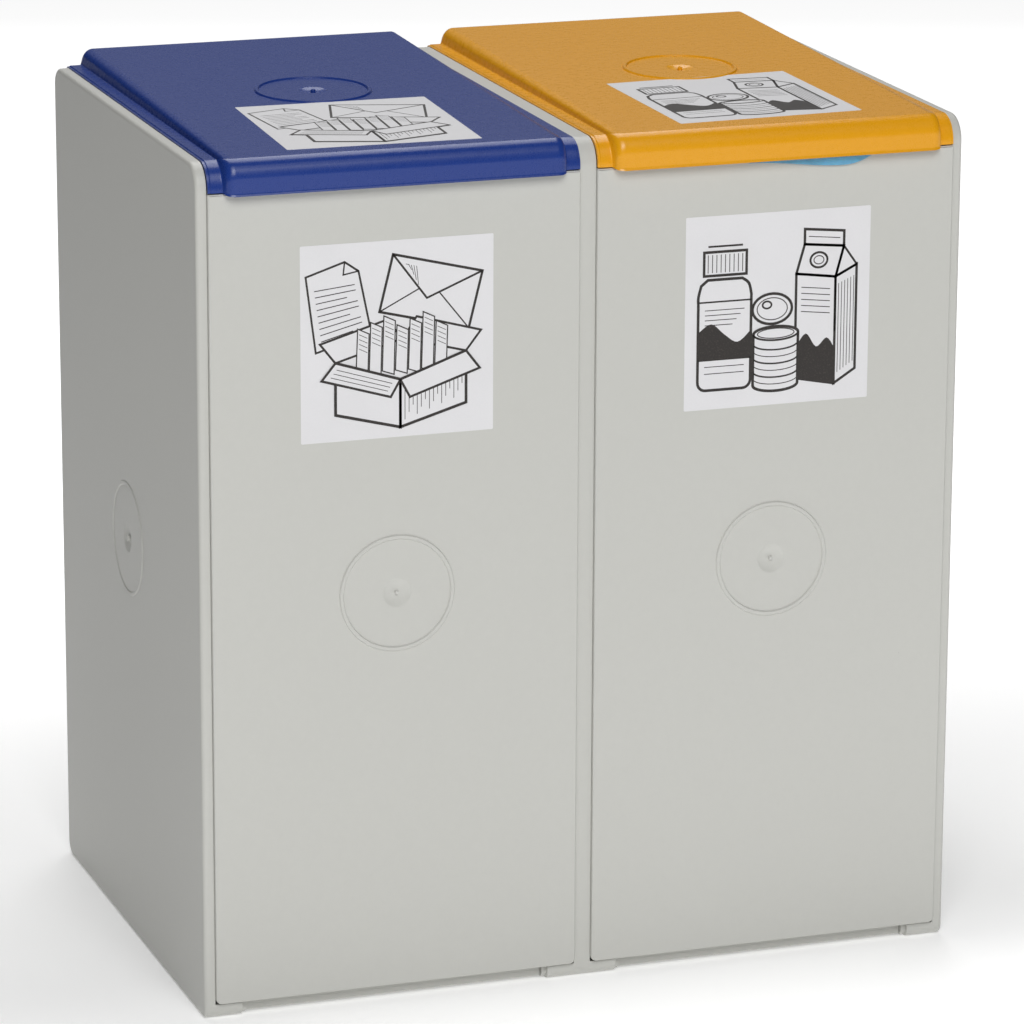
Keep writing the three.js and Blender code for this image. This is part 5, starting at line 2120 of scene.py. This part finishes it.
class Drawing(Sketch):
    """What the labels show."""

    def paper(self) -> None:
        """A written sheet and an envelope behind an open carton."""
        self.shape([(-59, -6), (-19, 6), (-28, 50), (-38, 57), (-66, 48)], 1.2)
        self.line([(-28, 50), (-39, 48), (-38, 57)], 0.9)
        for row in range(9):
            share = 0.12 + row * 0.085
            left = between((-59, -6), (-66, 48), share)
            right = between((-19, 6), (-28, 50), share)
            self.line([between(left, right, 0.12), between(left, right, 0.88 if row % 3 else 0.7)], 0.55)
        self.raise_level()
        a, b, c, d = (-13, 20), (52, 4), (62, 44), (-3, 60)
        self.shape([a, b, c, d], 1.5)
        tip = (21.5, 27.5)
        self.line([d, tip, c], 1.2)
        self.line([a, between(d, tip, 0.78)], 0.8)
        self.line([b, between(c, tip, 0.78)], 0.8)
        for row in range(5):
            left = between(between(d, a, 0.12), between(c, b, 0.12), 0.16 + row * 0.03)
            self.line([left, (left[0] + 2.6 - row * 0.3, left[1] - 0.7 - row * 3.2)], 0.35)
        self.raise_level()
        self._carton()

    def _carton(self) -> None:
        """An open carton with folded papers standing in it."""
        left, near, right, far = (-45, -14), (2, -29), (50, -12), (4, 0)
        drop = 37
        self.shape([left, far, (-8, 14), (-56, 0)], 1.3)
        self.shape([far, right, (61, 2), (14, 15)], 1.3)
        self.raise_level()
        for index in range(7):
            x = -30 + index * 9.5
            top = 9 + (index * 37 % 11)
            self.shape([(x, -22), (x + 8.5, -25), (x + 9.5, top - 4), (x + 1.2, top)], 0.7)
            for row in range(4):
                self.line([(x + 2.2, top - 4 - row * 3.4), (x + 8.2, top - 7 - row * 3.4)], 0.35)
            self.raise_level()
        self.shape([left, near, (near[0], near[1] - drop + 3), (left[0], left[1] - drop)], 1.7)
        self.shape([near, right, (right[0], right[1] - drop), (near[0], near[1] - drop + 3)], 1.7)
        for column in range(15):
            share = 0.07 + column * 0.062
            top = between(near, right, share)
            self.line([(top[0], top[1] - 3), (top[0], top[1] - 30 + 4 * (column % 3))], 0.4)
        self.raise_level()
        self.shape([left, near, (-5, -41), (-55, -26)], 1.4)
        self.shape([near, right, (60, -25), (9, -42)], 1.4)
        for row in range(3):
            a = between(left, (-55, -26), 0.3 + row * 0.22)
            b = between(near, (-5, -41), 0.3 + row * 0.22)
            self.line([between(a, b, 0.08), between(a, b, 0.92)], 0.4)

    def packaging(self) -> None:
        """A screw-top jar, a gable carton and a ribbed tin."""
        self._gable()
        self.raise_level()
        body = [
            (-60, -44),
            *arc((-54, -50), (6, 6), 180, 270, 6),
            *arc((-26, -50), (6, 6), 270, 360, 6),
            (-20, 6),
            *curve([(-20, 12), (-22, 20), (-27, 24)], 4),
            (-53, 24),
            *curve([(-58, 20), (-60, 12), (-60, 6)], 4),
        ]
        self.shape(body, 1.7)
        self.shape([(-56, 27), (-24, 27), (-24, 44), (-56, 44)], 1.6)
        for step in range(9):
            x = -53 + step * 3.25
            self.line([(x, 29), (x, 42)], 0.5)
        self.line([(-53, 48), (-27, 48)], 1.1)
        self.line([(-60, 8), (-20, 8)], 1.0)
        self.line([(-60, -34), (-20, -34)], 1.0)
        wave = curve([(-60, -14), (-50, -8), (-40, -16), (-30, -22), (-20, -14)], 5)
        self.fill([*wave, (-20, -34), (-60, -34)], Tone.INK)
        for row in range(4):
            self.line([(-55, 2 - row * 3.6), (-25 - row * 3, 2 - row * 3.6)], 0.5)
        for row in range(2):
            self.line([(-55, -39 - row * 5), (-25, -39 - row * 5)], 0.5)
        self.raise_level()
        self._tin()

    def _gable(self) -> None:
        """A drink carton with a gable top and a round cap."""
        self.shape([(14, -52), (44, -58), (44, 20), (14, 24)], 1.6)
        self.shape([(44, -58), (60, -48), (60, 28), (44, 20)], 1.6)
        self.shape([(14, 24), (44, 20), (50, 42), (20, 45)], 1.6)
        self.shape([(44, 20), (60, 28), (50, 42)], 1.3)
        self.shape([(20, 45), (50, 42), (50, 53), (20, 56)], 1.6)
        self.line([(23, 50.5), (47, 48)], 0.5)
        self.raise_level()
        self.shape(arc((31, 33), (6.5, 5.5), 0, 345, 22), 1.3)
        self.line(arc((31, 33), (3.8, 3), 0, 345, 18), 0.6, closed=True)
        for row in range(5):
            self.line([(18, 14 - row * 4.4), (40, 11.4 - row * 4.4)], 0.5)
        hill = curve([(14, -30), (22, -20), (30, -30), (38, -24), (44, -32)], 5)
        self.fill([*hill, (44, -58), (14, -52)], Tone.INK)
        for column in range(6):
            x = 46.5 + column * 2.3
            self.line([(x, 15 + column), (x, -50 + column * 1.5)], 0.4)

    def _tin(self) -> None:
        """A ribbed tin with its lid bent up."""
        body = [*arc((-1, -18), (17, 5), 180, 0, 20), *arc((-1, -55), (17, 5), 0, -180, 20)]
        self.shape(body, 1.7)
        self.line(arc((-1, -18), (17, 5), 180, 360, 20), 1.2)
        self.line(arc((-1, -18), (14, 3.6), 0, 350, 24), 0.6, closed=True)
        for row in range(6):
            self.line(arc((-1, -25 - row * 5), (17, 5), 190, 350, 16), 0.55 if row % 2 else 1.0)
        self.raise_level()
        self.shape(arc((-4, 0), (15, 11), 0, 350, 28), 1.6)
        self.line(arc((-4, 0), (11.5, 8), 0, 350, 26), 0.6, closed=True)
        self.line(arc((-8, 3), (3.4, 2.6), 0, 340, 14), 1.1, closed=True)


class Artwork(Enum):
    """What a label shows."""

    PAPER = "paper"
    PACKAGING = "packaging"


@dataclass
class Labels:
    """The four printed labels, two on the front panels and two on the lids."""

    finishes: Finishes
    lids: Lids
    size: float = 140
    thickness: float = 0.12
    front_face: float = -3
    front_places: tuple[Pair, Pair] = ((-140.3, 486), (142.2, 487))
    lid_places: tuple[Triple, Triple] = ((-142.2, 82.0, -1.0), (142.0, 88.6, 2.5))
    lid_depth: float = 137
    corner: float = 1
    gap: float = 0.004

    def _label(self, name: str, art: Artwork) -> Object:
        """One label lying flat at the origin, face up.

        Args:
            name: Its name.
            art: What it shows.

        Returns:
            The label with paper and ink materials.
        """
        half = self.size / 2
        plate = BENCH.block(name, (-half, -half, 0), (half, half, self.thickness))
        BENCH.bevel(plate, lambda a, b: abs(a.z - b.z) > NEAR, self.corner, 4)
        dress(plate, self.finishes.paper)
        tones = {Tone.PAPER: self.finishes.paper, Tone.INK: self.finishes.ink}
        drawing = Drawing(self.thickness + self.gap, tones)
        if art is Artwork.PAPER:
            drawing.paper()
        else:
            drawing.packaging()
        return BENCH.join([plate, *drawing.parts])

    def build(self) -> None:
        """Draws both labels and sticks a copy on each panel and lid."""
        slope = math.radians(self.lids.slope_degrees)
        for side, art, front, top in zip(Side, Artwork, self.front_places, self.lid_places):
            first = self._label(f"front_label_{side.word}", art)
            second = BENCH.copy(first, f"lid_label_{side.word}")
            BENCH.put(second, Matrix.Diagonal((1, self.lid_depth / self.size, 1, 1)))
            across, height = front
            rows = ((1, 0, 0, across), (0, 0, -1, self.front_face), (0, 1, 0, height), (0, 0, 0, 1))
            BENCH.put(first, Matrix(rows))
            x, y, turn = top
            lying = (
                Matrix.Translation((x, y, self.lids.crown(y)))
                @ Matrix.Rotation(slope, 4, "X")
                @ Matrix.Rotation(math.radians(turn), 4, "Z")
            )
            BENCH.put(second, lying)
            for obj, body in ((first, "root"), (second, f"lid_{side.word}")):
                settle(BENCH.finish(obj), body, [], None)


# ---- studio


@dataclass(frozen=True)
class Softbox:
    """A rectangular lamp that looks at a target; places and sizes in metres, power in watts."""

    name: str
    place: Triple
    target: Triple
    size: Pair
    power: float

    def hang(self) -> None:
        """Adds the lamp to the scene."""
        data = bpy.data.lights.new(self.name, "AREA")
        data.shape = "RECTANGLE"
        data.size, data.size_y = self.size
        data.energy = self.power
        obj = bpy.data.objects.new(self.name, data)
        bpy.context.scene.collection.objects.link(obj)
        obj.location = self.place
        obj.rotation_mode = "QUATERNION"
        obj.rotation_quaternion = (Vector(self.target) - Vector(self.place)).to_track_quat("-Z", "Y")


@dataclass
class Studio:
    """Camera, pale floor that glows in places as painted light, and soft lights; lengths in metres, angles in
    degrees.
    """

    azimuth: float = -19.081
    elevation: float = 15.467
    distance: float = 3.761794
    aim: Triple = (-0.054877, -0.18735, 0.353588)
    lens: float = 188.02
    roll: float = 0.237
    surround: float = 0.01
    floor_size: float = 40
    glow: float = 0.8
    # where the floor's glow, painted light, rises: y and x behind the bin, in front of it, and its left end
    glow_behind: Pair = (-0.15, 1.1)
    glow_right: Pair = (-0.45, 0.1)
    glow_ahead: Pair = (0.08, 0.45)
    glow_fade: Pair = (0.5, 1.2)
    glow_left: Pair = (-0.75, -0.4)
    glow_greys: Pair = (0.06, 0.95)
    softboxes: tuple[Softbox, ...] = (
        Softbox("key_light", (-0.75, -3.25, 3.0), (0, 0, 0.3), (2.4, 2.0), 86),
        Softbox("front_light", (0, -3.0, 3.4), (0, 0, 0.3), (2.4, 1.6), 20),
        Softbox("top_light", (0.1, 1.4, 2.9), (0, 0, 0.5), (2.2, 2.4), 50),
        Softbox("rear_light", (1.1, 3.4, 1.1), (0, 0, 0.6), (3.6, 1.8), 4),
    )

    def camera(self) -> None:
        """The photograph's view."""
        around, above = math.radians(self.azimuth), math.radians(self.elevation)
        level = math.cos(above)
        back = Vector((math.sin(around) * level, -math.cos(around) * level, math.sin(above)))
        right = Vector((math.cos(around), math.sin(around), 0))
        up = back.cross(right)
        sine, cosine = math.sin(math.radians(self.roll)), math.cos(math.radians(self.roll))
        right, up = cosine * right + sine * up, cosine * up - sine * right
        data = bpy.data.cameras.new("camera")
        data.lens, data.sensor_width = self.lens, 36
        data.clip_start, data.clip_end = 0.05, 100
        obj = bpy.data.objects.new("camera", data)
        bpy.context.scene.collection.objects.link(obj)
        turn = Matrix((right, up, back)).transposed().to_4x4()
        obj.matrix_world = Matrix.Translation(Vector(self.aim) + back * self.distance) @ turn
        bpy.context.scene.camera = obj

    def lights(self) -> None:
        """Softboxes in front, above and behind, and a dim surround."""
        for softbox in self.softboxes:
            softbox.hang()
        world = bpy.data.worlds.new("surround")
        world.use_nodes = True
        backdrop = world.node_tree.nodes["Background"]
        backdrop.inputs["Color"].default_value = (1, 1, 1, 1)
        backdrop.inputs["Strength"].default_value = self.surround
        bpy.context.scene.world = world
        bpy.context.scene.view_settings.view_transform = "Standard"

    def floor(self) -> None:
        """A pale floor that glows as painted light: brightest behind the bin and to its right, in a band in
        front of it, dimmer to its left.
        """
        BENCH.clear()
        bpy.ops.mesh.primitive_plane_add(size=self.floor_size, location=(0, 0, 0))
        obj = bpy.context.object
        obj.name = "floor"
        board = Board("pale_floor")
        tone = board.clamp(board.clouds(0.9, 2), 0.3, 0.7)
        back = board.add("ShaderNodeSeparateXYZ", None, {0: board.place}, "Y")
        right = board.add("ShaderNodeSeparateXYZ", None, {0: board.place}, "X")
        ahead = 0 - back
        behind = board.clamp(back, *self.glow_behind) * board.clamp(right + back * 0.3, *self.glow_right)
        front = board.clamp(ahead, *self.glow_ahead) - board.clamp(ahead, *self.glow_fade) * 0.55
        left = board.clamp(right, *self.glow_left)
        dim, bright = ((grey, grey, grey) for grey in self.glow_greys)
        near = board.blend(front * 0.8 + left * 0.2, dim, bright)
        sockets = {
            "Base Color": board.blend(tone, (0.89, 0.89, 0.89), (0.9, 0.9, 0.9)),
            "Roughness": 0.8,
            "Specular IOR Level": 0.2,
            # painted light: the floor's emission, which also falls on the bin's lower faces
            "Emission Color": board.blend(behind, near, (1, 1, 1)),
            "Emission Strength": self.glow,
        }
        dress(obj, board.surface(sockets))


def main() -> None:
    """Builds the bin and its studio."""
    logging.basicConfig(level=logging.INFO, format="%(message)s", stream=sys.stdout)
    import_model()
    studio = Studio()
    studio.camera()
    finishes = Finishes()
    lids = Lids(finishes)
    pieces = (
        SideWalls(finishes),
        Partition(finishes),
        Panels(finishes),
        FloorTrays(finishes),
        lids,
        Hinges(finishes),
        Screws(finishes),
        BagFrames(finishes),
        LinerBag(finishes),
        Labels(finishes, lids),
    )
    for piece in pieces:
        piece.build()
    studio.lights()
    studio.floor()


if __name__ == "__main__":
    main()
